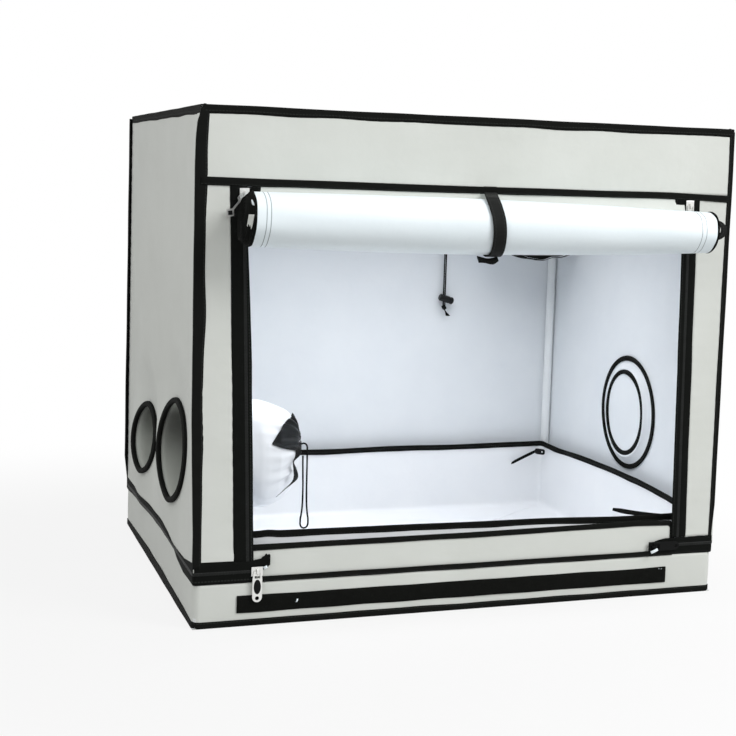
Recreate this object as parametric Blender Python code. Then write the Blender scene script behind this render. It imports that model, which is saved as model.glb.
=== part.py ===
"""Small grow tent: a tube frame in a white-lined cover, with a rolled-up door, zips, vents and a tray.

Metres, +Z up. The origin is the middle of the footprint, on the floor. The door faces -Y.
"""

import math

import bmesh
import bpy
import numpy as np
from mathutils import Matrix, Vector

for old in list(bpy.data.objects):
    bpy.data.objects.remove(old, do_unlink=True)

# Overall size, measured over the edge binding
WIDTH = 0.800
DEPTH = 0.600
HEIGHT = 0.700

# Cloth, tape and the gap that touching pieces keep
GAP = 0.0003
CLOTH = 0.0012
TAPE = 0.0009
SHELL_X = WIDTH / 2 - TAPE - GAP
SHELL_Y = DEPTH / 2 - TAPE - GAP
SHELL_Z = HEIGHT - TAPE - GAP
INNER_X = SHELL_X - CLOTH
INNER_Y = SHELL_Y - CLOTH
INNER_Z = SHELL_Z - CLOTH
BETWEEN_X = INNER_X - GAP

# Edge binding: how far the tape reaches over each face
BIND_TOP = 0.009
BIND_BASE = 0.009
BIND_CORNER = 0.006
BIND_ROUND = 0.0006

# Frame tubes and their corner connectors
TUBE_R = 0.008
TUBE_WALL = 0.0009
TUBE_SIDES = 20
SPIGOT_LONG = 0.026
SPIGOT_SIDES = 12
HUB_ROUND = 0.0025
POST_X = INNER_X - GAP - TUBE_R
POST_Y = INNER_Y - GAP - TUBE_R
RAIL_LOW_Z = CLOTH + GAP + TUBE_R
RAIL_TOP_Z = INNER_Z - GAP - TUBE_R

# Hanging bars across the top
BAR_R = 0.0065
BAR_Y = 0.110
CLIP_LONG = 0.022
CLIP_WALL = 0.0018

# Front: skirt, base zip, valance and the door's sill flap
SKIRT_TOP = 0.0615
BASE_ZIP_HIGH = 0.0290
SEAM_LOW = 0.5960
SEAM_HIGH = 0.6070
SILL_HALF = WIDTH / 2 - 0.0740
SILL_LOW = 0.0200
SILL_HIGH = 0.1120
SILL_ROUND = 0.0160
BASE_ZIP_TOP = SKIRT_TOP + GAP + BASE_ZIP_HIGH
PANEL_LOW = BASE_ZIP_TOP + GAP
SEAM_MID = (SEAM_LOW + SEAM_HIGH) / 2
FRONT_Y = -SHELL_Y

# Door zips: both lean to the left, so each coil has a place at its foot and at its closed slider
DOOR_FOOT_Z = 0.1000
DOOR_SLIDER_Z = 0.5865
LEFT_COIL_FOOT = 0.0745 - WIDTH / 2
LEFT_COIL_TOP = 0.0595 - WIDTH / 2
RIGHT_COIL_FOOT = WIDTH / 2 - 0.0625
RIGHT_COIL_TOP = WIDTH / 2 - 0.0715
DOOR_TAPE_IN = 0.0080
DOOR_TAPE_OUT = 0.0160

# Zip coils, sliders and pulls
COIL_WIDE = 0.0050
COIL_PROUD = 0.0016
COIL_SINK = 0.0008
STUB_LEFT_END = 0.1000 - WIDTH / 2
STUB_RIGHT_END = WIDTH / 2 - 0.1120
COIL_CORNER_STOP = 0.0150
SLIDER_WIDE = 0.0130
SLIDER_LONG = 0.0160
SLIDER_PLATE = 0.0015
SLIDER_LIP = 0.0012
SLIDER_LIP_DEEP = 0.0013
ARCH_HALF_LONG = 0.0040
ARCH_HALF_WIDE = 0.0012
ARCH_TALL = 0.0040
ARCH_WALL = 0.0011
PULL_BAR_R = 0.0007
PULL_WINDOW_WIDE = 0.0078
PULL_WINDOW_LONG = 0.0090
PULL_SIDE = 0.0012
PULL_THICK = 0.0014
PULL_TOP_HALF = PULL_WINDOW_WIDE / 2 + PULL_SIDE
DOOR_PULL_LONG = 0.0390
DOOR_STEM_HALF = 0.0013
DIAMOND_HALF = 0.0066
DIAMOND_STRETCH = 1.15
BASE_PULL_LONG = 0.0420
BASE_PULL_HALF = 0.0068
BASE_PULL_HOLE_R = 0.0028
BASE_SLIDER_LEFT_X = 0.0880 - WIDTH / 2
BASE_SLIDER_RIGHT_X = WIDTH / 2 - 0.1035
LEFT_PULL_LEAN = math.radians(38)
BASE_SLIDER_Z = SKIRT_TOP + GAP + BASE_ZIP_HIGH / 2

# Rolled-up door
ROLL_LEFT = 0.0455 - WIDTH / 2
ROLL_RIGHT = WIDTH / 2 - 0.0620
ROLL_CLEAR = 0.0033
ROLL_BACK_Y = FRONT_Y - COIL_PROUD - GAP - SLIDER_PLATE - ARCH_TALL - ROLL_CLEAR
ROLL_R_LEFT = 0.0370
ROLL_R_MID = 0.0395
ROLL_R_RIGHT = 0.0310
ROLL_Z_LEFT = 0.5560
ROLL_Z_MID = 0.5525
ROLL_Z_RIGHT = 0.5500
ROLL_PITCH = 0.0036
ROLL_TURNS = 2.35
ROLL_CLOTH = 0.0013
ROLL_STEPS_A_TURN = 22
ROLL_STATIONS = 10

# Strap round the roll
STRAP_X = -0.0065
STRAP_WIDE = 0.0190
STRAP_THICK = 0.0016
STRAP_CLEAR = 0.0005
STRAP_LEAVES_FRONT = math.radians(100)
STRAP_LEAVES_BACK = math.radians(290)
STRAP_TURN_UP = (0.35, 0.70, 0.92)

# Hook-and-loop strip on the skirt
GRIP_LEFT = 0.0610 - WIDTH / 2
GRIP_RIGHT = WIDTH / 2 - 0.0800
GRIP_LOW = 0.0190
GRIP_HIGH = 0.0430
GRIP_THICK = 0.0012

# Inner tray and its bound rim
TRAY_HIGH = 0.1180
TRAY_CLEAR = 0.0012
TRAY_WALL = 0.0012
RIM_HIGH = 0.0080
RIM_THICK = 0.0012
TIE_WIDE = 0.0070
TIE_LONG = 0.0700
TIE_THICK = 0.0022
TIE_FALL = math.radians(22)
TRAY_X = POST_X - TUBE_R - RIM_THICK - TRAY_CLEAR
TRAY_Y = POST_Y - TUBE_R - RIM_THICK - TRAY_CLEAR

# Vents: the ring's outer radius, its place, and how the collar leans
RING_WIDE = 0.0095
BIG_R = 0.0765
BIG_Y = -0.1280
BIG_Z = 0.2130
BIG_REACH = 0.1870
BIG_LEAN = math.radians(8)
SMALL_R = 0.0585
SMALL_Y = 0.1220
SMALL_Z = 0.1850
SMALL_REACH = 0.1150
SMALL_LEAN = math.radians(10)
PORT_R = 0.0925
PORT_INNER_R = 0.0690
PORT_DEEP = 0.0090
PORT_Y = -0.0180
PORT_Z = 0.2330
BACK_R = 0.0775
BACK_X = WIDTH / 2 - 0.1410
BACK_Z = 0.5600
BACK_REACH = 0.1050
BACK_DRIFT_X = 0.0450
BACK_DROP = 0.0080
SLEEVE_CLOTH = 0.0012
SLEEVE_SIDES = 32
SLEEVE_FLARE = 0.0010
PLEATS = 8
HOLE_CLEAR = 0.0010
BIG_SWELL = 0.0035
BIG_NECK_R = 0.0130
BIG_LIP_R = 0.0240
BIG_PLEAT = 0.0022
BIG_END_FORWARD = 0.0120
BIG_END_UP = 0.0180
SMALL_SWELL = 0.0030
SMALL_NECK_R = 0.0110
SMALL_LIP_R = 0.0200
SMALL_PLEAT = 0.0018
BACK_PLEAT = 0.0016
BACK_WAIST = 0.0030

# Drawcords, each with two strands side by side, and the barrel cord lock
CORD_R = 0.0013
STRAND_GAP = 0.0005
CORD_POINTS = 76
LOCK_R = 0.0065
LOCK_LONG = 0.0200
LOCK_WALL = 0.0013
LOCK_ROUND = 0.0020
BUTTON_LONG = 0.0238
BUTTON_OUT = 0.0080
BUTTON_TRAVEL = 0.0025
LOCK_TILT = math.radians(17)
LOCK_Z = 0.3950
CORD_DROP_X = BACK_X - 0.0861
CORD_DROP_Y = INNER_Y - 0.0101
LOOP_FORWARD = 0.0120
LOOP_TOP_R = 0.0058
LOOP_LOW_R = 0.0060
LOOP_DROP = 0.1165
LOOP_POINTS = 80
KNOT_R = 0.0042
KNOT_HIGH = 0.0080
KNOT_BELOW_LOCK = 0.0060
TAIL_LONG = 0.0110
TAIL_R = 0.0022
STRAND_X = CORD_R + STRAND_GAP / 2


def material(name, colour, roughness, metallic=0.0):
    """A plain surface with the piece's own colour, roughness and metallic value."""
    made = bpy.data.materials.new(name)
    made.use_nodes = True
    shader = made.node_tree.nodes["Principled BSDF"]
    shader.inputs["Base Color"].default_value = (*colour, 1.0)
    shader.inputs["Roughness"].default_value = roughness
    shader.inputs["Metallic"].default_value = metallic
    made.diffuse_color = (*colour, 1.0)
    return made


COVER = material("grey_white_cover_cloth", (0.66, 0.68, 0.65), 0.55)
LINING = material("white_lining_cloth", (0.80, 0.84, 0.88), 0.45)
BINDING = material("black_binding_tape", (0.014, 0.015, 0.014), 0.75)
WEBBING = material("black_webbing", (0.020, 0.020, 0.020), 0.80)
ZIP = material("black_zip_tape", (0.018, 0.019, 0.018), 0.65)
STEEL = material("white_coated_steel_tube", (0.78, 0.80, 0.82), 0.35)
PLASTIC = material("white_moulded_connector", (0.75, 0.77, 0.78), 0.45)
CHROME = material("nickel_plated_zinc", (0.62, 0.62, 0.60), 0.25, 1.0)
CORD = material("black_drawcord", (0.015, 0.015, 0.015), 0.80)
BLACK_PLASTIC = material("black_moulded_plastic", (0.020, 0.020, 0.021), 0.40)
TRAY_CLOTH = material("white_tray_sheet", (0.82, 0.85, 0.89), 0.40)


def place(name, mesh, finish, smooth=None):
    """Puts a finished mesh into the scene as the named sub-part."""
    mesh.materials.clear()
    mesh.materials.append(finish)
    if smooth is not None:
        mesh.shade_smooth()
        mesh.set_sharp_from_angle(angle=math.radians(smooth))
    made = bpy.data.objects.new(name, mesh)
    bpy.context.scene.collection.objects.link(made)
    return made


def mesh_of(name, shape):
    """Turns a bmesh into a mesh whose faces all point out."""
    bmesh.ops.recalc_face_normals(shape, faces=shape.faces)
    mesh = bpy.data.meshes.new(name)
    shape.to_mesh(mesh)
    shape.free()
    return mesh


def box_mesh(name, low, high, rounding=0.0, segments=2):
    """A box between two corners, with all its edges rounded if a radius is given."""
    low, high = Vector(low), Vector(high)
    shape = bmesh.new()
    bmesh.ops.create_cube(shape, size=1.0)
    bmesh.ops.scale(shape, vec=high - low, verts=shape.verts)
    bmesh.ops.translate(shape, vec=(low + high) / 2, verts=shape.verts)
    if rounding:
        bmesh.ops.bevel(
            shape, geom=shape.edges[:], offset=rounding, segments=segments,
            affect="EDGES", profile=0.5, clamp_overlap=True,
        )
    return mesh_of(name, shape)


def box(name, low, high, finish, rounding=0.0):
    return place(name, box_mesh(name, low, high, rounding), finish)


def extruded_mesh(name, outline, along, start, end):
    """A flat outline carried straight along X, Y or Z. Outline pairs are the other two axes in order."""
    axis = "XYZ".index(along)
    others = [i for i in range(3) if i != axis]
    shape = bmesh.new()
    corners = []
    for pair in outline:
        point = [0.0, 0.0, 0.0]
        point[axis] = start
        point[others[0]], point[others[1]] = pair
        corners.append(shape.verts.new(point))
    face = shape.faces.new(corners)
    moved = bmesh.ops.extrude_face_region(shape, geom=[face])
    fresh = [item for item in moved["geom"] if isinstance(item, bmesh.types.BMVert)]
    step = [0.0, 0.0, 0.0]
    step[axis] = end - start
    bmesh.ops.translate(shape, vec=step, verts=fresh)
    return mesh_of(name, shape)


def extruded(name, outline, along, start, end, finish, smooth=None):
    return place(name, extruded_mesh(name, outline, along, start, end), finish, smooth)


def cylinder_mesh(name, radius, length, sides=24):
    """A rod along Z, centred on the origin."""
    shape = bmesh.new()
    bmesh.ops.create_cone(
        shape, cap_ends=True, segments=sides, radius1=radius, radius2=radius, depth=length
    )
    return mesh_of(name, shape)


def grid_mesh(name, points, wrap_u, wrap_v):
    """A quad surface through a grid of points, joined round in either direction; poles are merged."""
    rows, columns = points.shape[:2]
    shape = bmesh.new()
    verts = [[shape.verts.new(points[i, j]) for j in range(columns)] for i in range(rows)]
    for i in range(rows if wrap_u else rows - 1):
        for j in range(columns if wrap_v else columns - 1):
            k, m = (i + 1) % rows, (j + 1) % columns
            shape.faces.new((verts[i][j], verts[k][j], verts[k][m], verts[i][m]))
    if not wrap_u and wrap_v and not degenerate_ends(points):
        shape.faces.new([verts[0][j] for j in range(columns)])
        shape.faces.new([verts[-1][j] for j in reversed(range(columns))])
    bmesh.ops.remove_doubles(shape, verts=shape.verts, dist=1e-6)
    bmesh.ops.dissolve_degenerate(shape, dist=1e-7, edges=shape.edges)
    return mesh_of(name, shape)


def degenerate_ends(points):
    """True where the first and last rows each meet in one point, as at a pole."""
    return all(np.ptp(points[i], axis=0).max() < 1e-6 for i in (0, -1))


def cutter(name, mesh, matrix=None):
    """A helper that a Boolean uses and that isn't a sub-part."""
    made = bpy.data.objects.new(name, mesh)
    if matrix is not None:
        made.matrix_world = matrix
    made.hide_render = True
    made.display_type = "WIRE"
    bpy.context.scene.collection.objects.link(made)
    return made


def boolean(target, operation, other):
    step = target.modifiers.new(other.name, "BOOLEAN")
    step.operation = operation
    step.object = other
    step.solver = "EXACT"
    return target


def empty(name, location):
    """A joint axis: the moving pieces are its children."""
    made = bpy.data.objects.new(name, None)
    made.empty_display_size = 0.01
    made.location = location
    bpy.context.scene.collection.objects.link(made)
    return made


def child_of(parent, piece):
    """Hangs a piece that was made in world coordinates on a joint's empty, where it already is."""
    piece.parent = parent
    piece.matrix_parent_inverse = Matrix.Translation(parent.location).inverted()
    return piece


def turn_to(direction):
    """The rotation that lays local Z along a direction."""
    return Vector((0, 0, 1)).rotation_difference(Vector(direction)).to_matrix().to_4x4()


def smooth_path(points, count):
    """Points at even spacing on a smooth curve through the route's own points."""
    route = np.array(points, float)
    padded = np.vstack([2 * route[0] - route[1], route, 2 * route[-1] - route[-2]])
    fine = []
    for i in range(len(route) - 1):
        a, b, c, d = padded[i : i + 4]
        for t in np.linspace(0, 1, 24, endpoint=False):
            square = (2 * a - 5 * b + 4 * c - d) * t**2
            cube = (3 * b - a - 3 * c + d) * t**3
            fine.append(0.5 * (2 * b + (c - a) * t + square + cube))
    fine = np.array(fine + [route[-1]])
    run = np.concatenate([[0.0], np.cumsum(np.linalg.norm(np.diff(fine, axis=0), axis=1))])
    even = np.linspace(0, run[-1], count)
    return np.stack([np.interp(even, run, fine[:, k]) for k in range(3)], axis=1)


def cord(name, route, radius, count, finish):
    """A free cord: a round tube along a smooth curve through its route."""
    points = smooth_path(route, count)
    line = bpy.data.curves.new(name, "CURVE")
    line.dimensions = "3D"
    spline = line.splines.new("POLY")
    spline.points.add(len(points) - 1)
    for knot, point in zip(spline.points, points):
        knot.co = (*point, 1.0)
    line.bevel_depth = radius
    line.bevel_resolution = 2
    line.use_fill_caps = True
    line.materials.append(finish)
    made = bpy.data.objects.new(name, line)
    bpy.context.scene.collection.objects.link(made)
    return made


# Cover: the tub-shaped base with its floor and skirt
def base_tub():
    tub = box("base_tub", (-SHELL_X, -SHELL_Y, 0.0), (SHELL_X, SHELL_Y, SKIRT_TOP), COVER)
    hollow = box_mesh("tub_hollow", (-INNER_X, -INNER_Y, CLOTH), (INNER_X, INNER_Y, 2 * SKIRT_TOP))
    return boolean(tub, "DIFFERENCE", cutter("tub_hollow", hollow))


# The flap that stands up behind the skirt as the door's sill, with rounded top corners
def sill_flap():
    half = SILL_HALF
    turn = np.linspace(0, math.pi / 2, 6)
    right = [
        (half - SILL_ROUND + SILL_ROUND * math.cos(a), SILL_HIGH - SILL_ROUND + SILL_ROUND * math.sin(a))
        for a in turn
    ]
    left = [(-x, z) for x, z in reversed(right)]
    outline = [(-half, SILL_LOW), (half, SILL_LOW), *right, *left]
    back = -INNER_Y + GAP
    return extruded("sill_flap", outline, "Y", back, back + CLOTH, COVER)


def coil_lean(side):
    """How far a door zip's coil moves along X for each metre that it rises."""
    foot, top = (LEFT_COIL_FOOT, LEFT_COIL_TOP) if side < 0 else (RIGHT_COIL_FOOT, RIGHT_COIL_TOP)
    return (top - foot) / (DOOR_SLIDER_Z - DOOR_FOOT_Z)


def coil_x(side, z):
    """Where a door zip's coil is at a height."""
    foot = LEFT_COIL_FOOT if side < 0 else RIGHT_COIL_FOOT
    return foot + coil_lean(side) * (z - DOOR_FOOT_Z)


# Cover: flat panels sewn to each other under the binding tape
def cover_panels():
    top = INNER_Z - GAP
    roof = box("cover_roof", (-SHELL_X, -SHELL_Y, INNER_Z), (SHELL_X, SHELL_Y, SHELL_Z), COVER)
    back = box("cover_back", (-BETWEEN_X, INNER_Y, SKIRT_TOP + GAP), (BETWEEN_X, SHELL_Y, top), COVER)
    left = box("cover_left", (-SHELL_X, -SHELL_Y, PANEL_LOW), (-INNER_X, SHELL_Y, top), COVER)
    right = box("cover_right", (INNER_X, -SHELL_Y, PANEL_LOW), (SHELL_X, SHELL_Y, top), COVER)
    front_back = FRONT_Y + CLOTH
    box("front_valance", (-BETWEEN_X, FRONT_Y, SEAM_MID + GAP), (BETWEEN_X, front_back, top), COVER)
    for side, name in ((-1, "left"), (1, "right")):
        reach, head = side * (DOOR_TAPE_OUT + GAP), SEAM_MID - GAP
        outline = [
            (side * BETWEEN_X, PANEL_LOW), (coil_x(side, PANEL_LOW) + reach, PANEL_LOW),
            (coil_x(side, head) + reach, head), (side * BETWEEN_X, head),
        ]
        extruded(f"front_stile_{name}", outline, "Y", FRONT_Y, front_back, COVER)
    return roof, back, left, right


def hole(panel, name, radius, centre, direction):
    """Cuts a round vent hole through a panel."""
    depth = 20 * CLOTH
    mesh = cylinder_mesh(name, radius, depth, SLEEVE_SIDES * 2)
    boolean(panel, "DIFFERENCE", cutter(name, mesh, Matrix.Translation(centre) @ turn_to(direction)))


# Black tape folded over the twelve edges of the cover, open on the floor side
def edge_binding():
    half_x, half_y = WIDTH / 2, DEPTH / 2
    whole = box_mesh("edge_binding", (-half_x, -half_y, GAP), (half_x, half_y, HEIGHT), BIND_ROUND)
    binding = place("edge_binding", whole, BINDING)
    far = WIDTH
    in_x, in_y, in_z = SHELL_X + GAP, SHELL_Y + GAP, SHELL_Z + GAP
    low, high = BIND_BASE, HEIGHT - BIND_TOP
    side_x, side_y = half_x - BIND_CORNER, half_y - BIND_CORNER
    roof_x, roof_y = half_x - BIND_TOP, half_y - BIND_TOP
    cuts = {
        "binding_inside": ((-in_x, -in_y, -far), (in_x, in_y, in_z)),
        "binding_window_x": ((-far, -side_y, low), (far, side_y, high)),
        "binding_window_y": ((-side_x, -far, low), (side_x, far, high)),
        "binding_window_z": ((-roof_x, -roof_y, low), (roof_x, roof_y, far)),
    }
    for name, (start, end) in cuts.items():
        boolean(binding, "DIFFERENCE", cutter(name, box_mesh(name, start, end)))
    return binding


def seam_tape():
    front = FRONT_Y - GAP
    reach = WIDTH / 2 - BIND_CORNER - GAP
    return box("valance_seam_tape", (-reach, front - TAPE, SEAM_LOW), (reach, front, SEAM_HIGH), BINDING)


# Frame: twelve coated steel tubes, open at both ends
def tube(name, start, end):
    start, end = Vector(start), Vector(end)
    inner = TUBE_R - TUBE_WALL
    half = (end - start).length / 2
    turn = np.linspace(0, 2 * math.pi, TUBE_SIDES, endpoint=False)
    section = np.array([(TUBE_R, -half), (TUBE_R, half), (inner, half), (inner, -half)])
    rings = [[(r * math.cos(a), r * math.sin(a), z) for r, z in section] for a in turn]
    mesh = grid_mesh(name, np.array(rings), True, True)
    mesh.transform(Matrix.Translation((start + end) / 2) @ turn_to(end - start))
    return place(name, mesh, STEEL, 30)


def frame():
    stop = TUBE_R + GAP
    for sx, across in ((-1, "left"), (1, "right")):
        for sy, along in ((-1, "front"), (1, "back")):
            x, y = sx * POST_X, sy * POST_Y
            tube(f"post_{along}_{across}", (x, y, RAIL_LOW_Z + stop), (x, y, RAIL_TOP_Z - stop))
    for z, level in ((RAIL_LOW_Z, "base"), (RAIL_TOP_Z, "top")):
        for sy, along in ((-1, "front"), (1, "back")):
            y = sy * POST_Y
            tube(f"rail_{level}_{along}", (-POST_X + stop, y, z), (POST_X - stop, y, z))
        for sx, across in ((-1, "left"), (1, "right")):
            x = sx * POST_X
            tube(f"rail_{level}_{across}", (x, -POST_Y + stop, z), (x, POST_Y - stop, z))


# Moulded three-way connector: a rounded block with a spigot up inside each tube
def corner(name, sx, sy, sz, centre):
    block = box_mesh(name, (-TUBE_R, -TUBE_R, -TUBE_R), (TUBE_R, TUBE_R, TUBE_R), HUB_ROUND, 1)
    hub = place(name, block, PLASTIC)
    spigot_r = TUBE_R - TUBE_WALL - GAP
    length = TUBE_R + SPIGOT_LONG
    for axis, direction in (("x", (-sx, 0, 0)), ("y", (0, -sy, 0)), ("z", (0, 0, -sz))):
        rod = cylinder_mesh(f"{name}_spigot_{axis}", spigot_r, length, SPIGOT_SIDES)
        rod.transform(turn_to(direction) @ Matrix.Translation((0, 0, length / 2)))
        helper = cutter(f"{name}_spigot_{axis}", rod, Matrix.Translation(centre))
        boolean(hub, "UNION", helper)
    hub.location = centre
    return hub


def corners():
    for sx, across in ((-1, "left"), (1, "right")):
        for sy, along in ((-1, "front"), (1, "back")):
            for sz, level, z in ((-1, "base", RAIL_LOW_Z), (1, "top", RAIL_TOP_Z)):
                corner(f"corner_{level}_{along}_{across}", sx, sy, sz, (sx * POST_X, sy * POST_Y, z))


# Hanging bar: a tube across the top with a snap clip on each side rail
def hanging_bar(name, y):
    axis = empty(f"{name}_slide", (0, y, RAIL_TOP_Z))
    inner = TUBE_R + GAP
    outer = inner + CLIP_WALL
    below_roof, off_wall = math.asin(TUBE_R / outer), math.acos(TUBE_R / outer)
    sweep = np.linspace(math.pi - below_roof, 2 * math.pi - off_wall, 17)
    arcs = [(outer * math.cos(a), outer * math.sin(a)) for a in sweep]
    arcs += [(inner * math.cos(a), inner * math.sin(a)) for a in reversed(sweep)]
    reach = POST_X - inner - CLIP_WALL / 2
    rod = cylinder_mesh(name, BAR_R, 2 * reach, 20)
    rod.transform(turn_to((1, 0, 0)))
    bar = place(name, rod, STEEL, 30)
    bar.parent = axis
    for side, label in ((-1, "left"), (1, "right")):
        clip_name = f"{name}_clip_{label}"
        outline = [(side * x, z) for x, z in arcs]
        clip = extruded_mesh(clip_name, outline, "Y", -CLIP_LONG / 2, CLIP_LONG / 2)
        helper = cutter(clip_name, clip)
        helper.parent = axis
        helper.location = (side * POST_X, 0, 0)
        boolean(bar, "UNION", helper)
    bore = cylinder_mesh(f"{name}_bore", BAR_R - TUBE_WALL, WIDTH, 20)
    bore.transform(turn_to((1, 0, 0)))
    hollow = cutter(f"{name}_bore", bore)
    hollow.parent = axis
    return boolean(bar, "DIFFERENCE", hollow)


# Zip tape with its raised coil, for the upright sides of the door
def door_zip(name, side):
    """Made upright about its coil, then sheared to lean."""
    low, high = sorted((-side * DOOR_TAPE_IN, side * DOOR_TAPE_OUT))
    left, right = -COIL_WIDE / 2, COIL_WIDE / 2
    front, back, crest = FRONT_Y, FRONT_Y + CLOTH, FRONT_Y - COIL_PROUD
    soft = COIL_PROUD / 2
    outline = [
        (low, back), (low, front), (left, front), (left, front - soft), (left + soft, crest),
        (right - soft, crest), (right, front - soft), (right, front), (high, front), (high, back),
    ]
    mesh = extruded_mesh(name, outline, "Z", PANEL_LOW, SEAM_LOW - GAP)
    shear = Matrix.Identity(4)
    shear[0][2], shear[0][3] = coil_lean(side), coil_x(side, 0.0)
    mesh.transform(shear)
    return place(name, mesh, ZIP)


# Base zip: from its stub on the front, round the corner and along the side
def base_zip(name, side, stub_end):
    low, high = SKIRT_TOP + GAP, BASE_ZIP_TOP
    outer_x, inner_x = side * SHELL_X, side * INNER_X
    outline = [
        (stub_end, -SHELL_Y), (outer_x, -SHELL_Y), (outer_x, SHELL_Y),
        (inner_x, SHELL_Y), (inner_x, -INNER_Y), (stub_end, -INNER_Y),
    ]
    band = extruded(name, outline, "Z", low, high, ZIP)
    coil_low, coil_high = BASE_SLIDER_Z - COIL_WIDE / 2, BASE_SLIDER_Z + COIL_WIDE / 2
    start_x, stop_x = sorted((stub_end + side * COIL_SINK, side * (SHELL_X - COIL_CORNER_STOP)))
    near_x, far_x = sorted((side * (SHELL_X + COIL_PROUD), side * (SHELL_X - COIL_SINK)))
    crest, sunk = -SHELL_Y - COIL_PROUD, -SHELL_Y + COIL_SINK
    run = SHELL_Y - COIL_CORNER_STOP
    coils = {
        f"{name}_front_coil": ((start_x, crest, coil_low), (stop_x, sunk, coil_high)),
        f"{name}_side_coil": ((near_x, -run, coil_low), (far_x, run, coil_high)),
    }
    for label, (start, end) in coils.items():
        boolean(band, "UNION", cutter(label, box_mesh(label, start, end, COIL_PROUD / 3)))
    return band


# Zip slider: a plate whose lips straddle the coil, with an arch that holds the pull
def slider(name, centre, turn, arch_turn):
    """Made lying along X with its arch along Z, its back on the coil's crest; then both turn about Y."""
    axis = empty(f"{name}_slide", centre)
    half_wide, half_long = SLIDER_WIDE / 2, SLIDER_LONG / 2
    face = -GAP - SLIDER_PLATE
    sink = SLIDER_PLATE / 2
    plate = box_mesh(
        name, (-half_long, face, -half_wide), (half_long, -GAP, half_wide), SLIDER_PLATE / 4
    )
    body = place(name, plate, CHROME)
    helpers = []
    lip_in = COIL_WIDE / 2 + GAP
    lip_half = half_long - SLIDER_LIP
    for sign, label in ((-1, "low"), (1, "high")):
        near, far = sorted((sign * lip_in, sign * (lip_in + SLIDER_LIP)))
        lip = box_mesh(
            f"{name}_lip_{label}", (-lip_half, -GAP - sink, near), (lip_half, SLIDER_LIP_DEEP - GAP, far)
        )
        helpers.append(cutter(f"{name}_lip_{label}", lip))
    top, end, wall = face - ARCH_TALL, ARCH_HALF_LONG, ARCH_WALL
    foot = face + sink
    arch = [
        (foot, -end), (foot, wall - end), (top + 2 * wall, wall - end), (top + wall, 2 * wall - end),
        (top + wall, end - 2 * wall), (top + 2 * wall, end - wall), (foot, end - wall), (foot, end),
        (top + wall, end), (top, end - wall), (top, wall - end), (top + wall, -end),
    ]
    bridge = extruded_mesh(f"{name}_arch", arch, "X", -ARCH_HALF_WIDE, ARCH_HALF_WIDE)
    helpers.append(cutter(f"{name}_arch", bridge))
    for part in (plate, helpers[0].data, helpers[1].data):
        part.transform(Matrix.Rotation(turn, 4, "Y"))
    bridge.transform(Matrix.Rotation(arch_turn, 4, "Y"))
    for piece in (body, *helpers):
        piece.parent = axis
    for helper in helpers:
        boolean(body, "UNION", helper)
    return body


# Zip pull: a flat tab with a window whose top bar runs through the slider's arch
def pull(name, slider_centre, side, holes, lean):
    """Its right side is given from the top down to the foot, and each hole as an outline of its own."""
    face = -GAP - SLIDER_PLATE
    bar_y = face - (ARCH_TALL - ARCH_WALL) / 2
    centre = Vector(slider_centre) + Vector((0, bar_y, 0))
    axis = empty(f"{name}_pivot", centre)
    outline = side + [(-x, z) for x, z in reversed(side) if x > 0]
    tab = place(name, extruded_mesh(name, outline, "Y", -PULL_THICK / 2, PULL_THICK / 2), CHROME)
    tab.parent = axis
    tab.rotation_euler = (0, lean, 0)
    window_half = PULL_WINDOW_WIDE / 2
    window = [
        (-window_half, -PULL_WINDOW_LONG), (window_half, -PULL_WINDOW_LONG),
        (window_half, -PULL_BAR_R), (-window_half, -PULL_BAR_R),
    ]
    for number, edge in enumerate([window, *holes]):
        label = f"{name}_hole_{number}"
        helper = cutter(label, extruded_mesh(label, edge, "Y", -PULL_THICK, PULL_THICK))
        helper.parent = tab
        boolean(tab, "DIFFERENCE", helper)
    return tab


def door_pull(name, slider_centre, lean):
    """A thin stem that ends in a diamond with a diamond hole."""
    middle, tip = DIAMOND_HALF * DIAMOND_STRETCH - DOOR_PULL_LONG, -DOOR_PULL_LONG
    stem_top, stem_low = -PULL_WINDOW_LONG - 3 * DOOR_STEM_HALF, middle + DIAMOND_HALF
    side = [
        (PULL_TOP_HALF, PULL_BAR_R), (PULL_TOP_HALF, -PULL_WINDOW_LONG - PULL_SIDE / 2),
        (DOOR_STEM_HALF, stem_top), (DOOR_STEM_HALF, stem_low), (DIAMOND_HALF, middle), (0.0, tip),
    ]
    inner = DIAMOND_HALF - 2 * DOOR_STEM_HALF
    diamond = [(-inner, middle), (0.0, middle - inner), (inner, middle), (0.0, middle + inner)]
    return pull(name, slider_centre, side, [diamond], lean)


def base_pull(name, slider_centre, lean):
    """A long oval with a round hole near its foot."""
    turn = np.linspace(0, math.pi / 2, 6)
    foot = BASE_PULL_HALF - BASE_PULL_LONG
    side = [(PULL_TOP_HALF, PULL_BAR_R), (BASE_PULL_HALF, -PULL_WINDOW_LONG - PULL_SIDE)]
    side += [(BASE_PULL_HALF * math.cos(a), foot - BASE_PULL_HALF * math.sin(a)) for a in turn[:-1]]
    side += [(0.0, -BASE_PULL_LONG)]
    around = np.linspace(0, 2 * math.pi, 14, endpoint=False)
    hole_r, hole_z = BASE_PULL_HOLE_R, foot - BASE_PULL_HOLE_R / 2
    ring = [(hole_r * math.cos(a), hole_z + hole_r * math.sin(a)) for a in around]
    return pull(name, slider_centre, side, [ring], lean)


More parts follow.
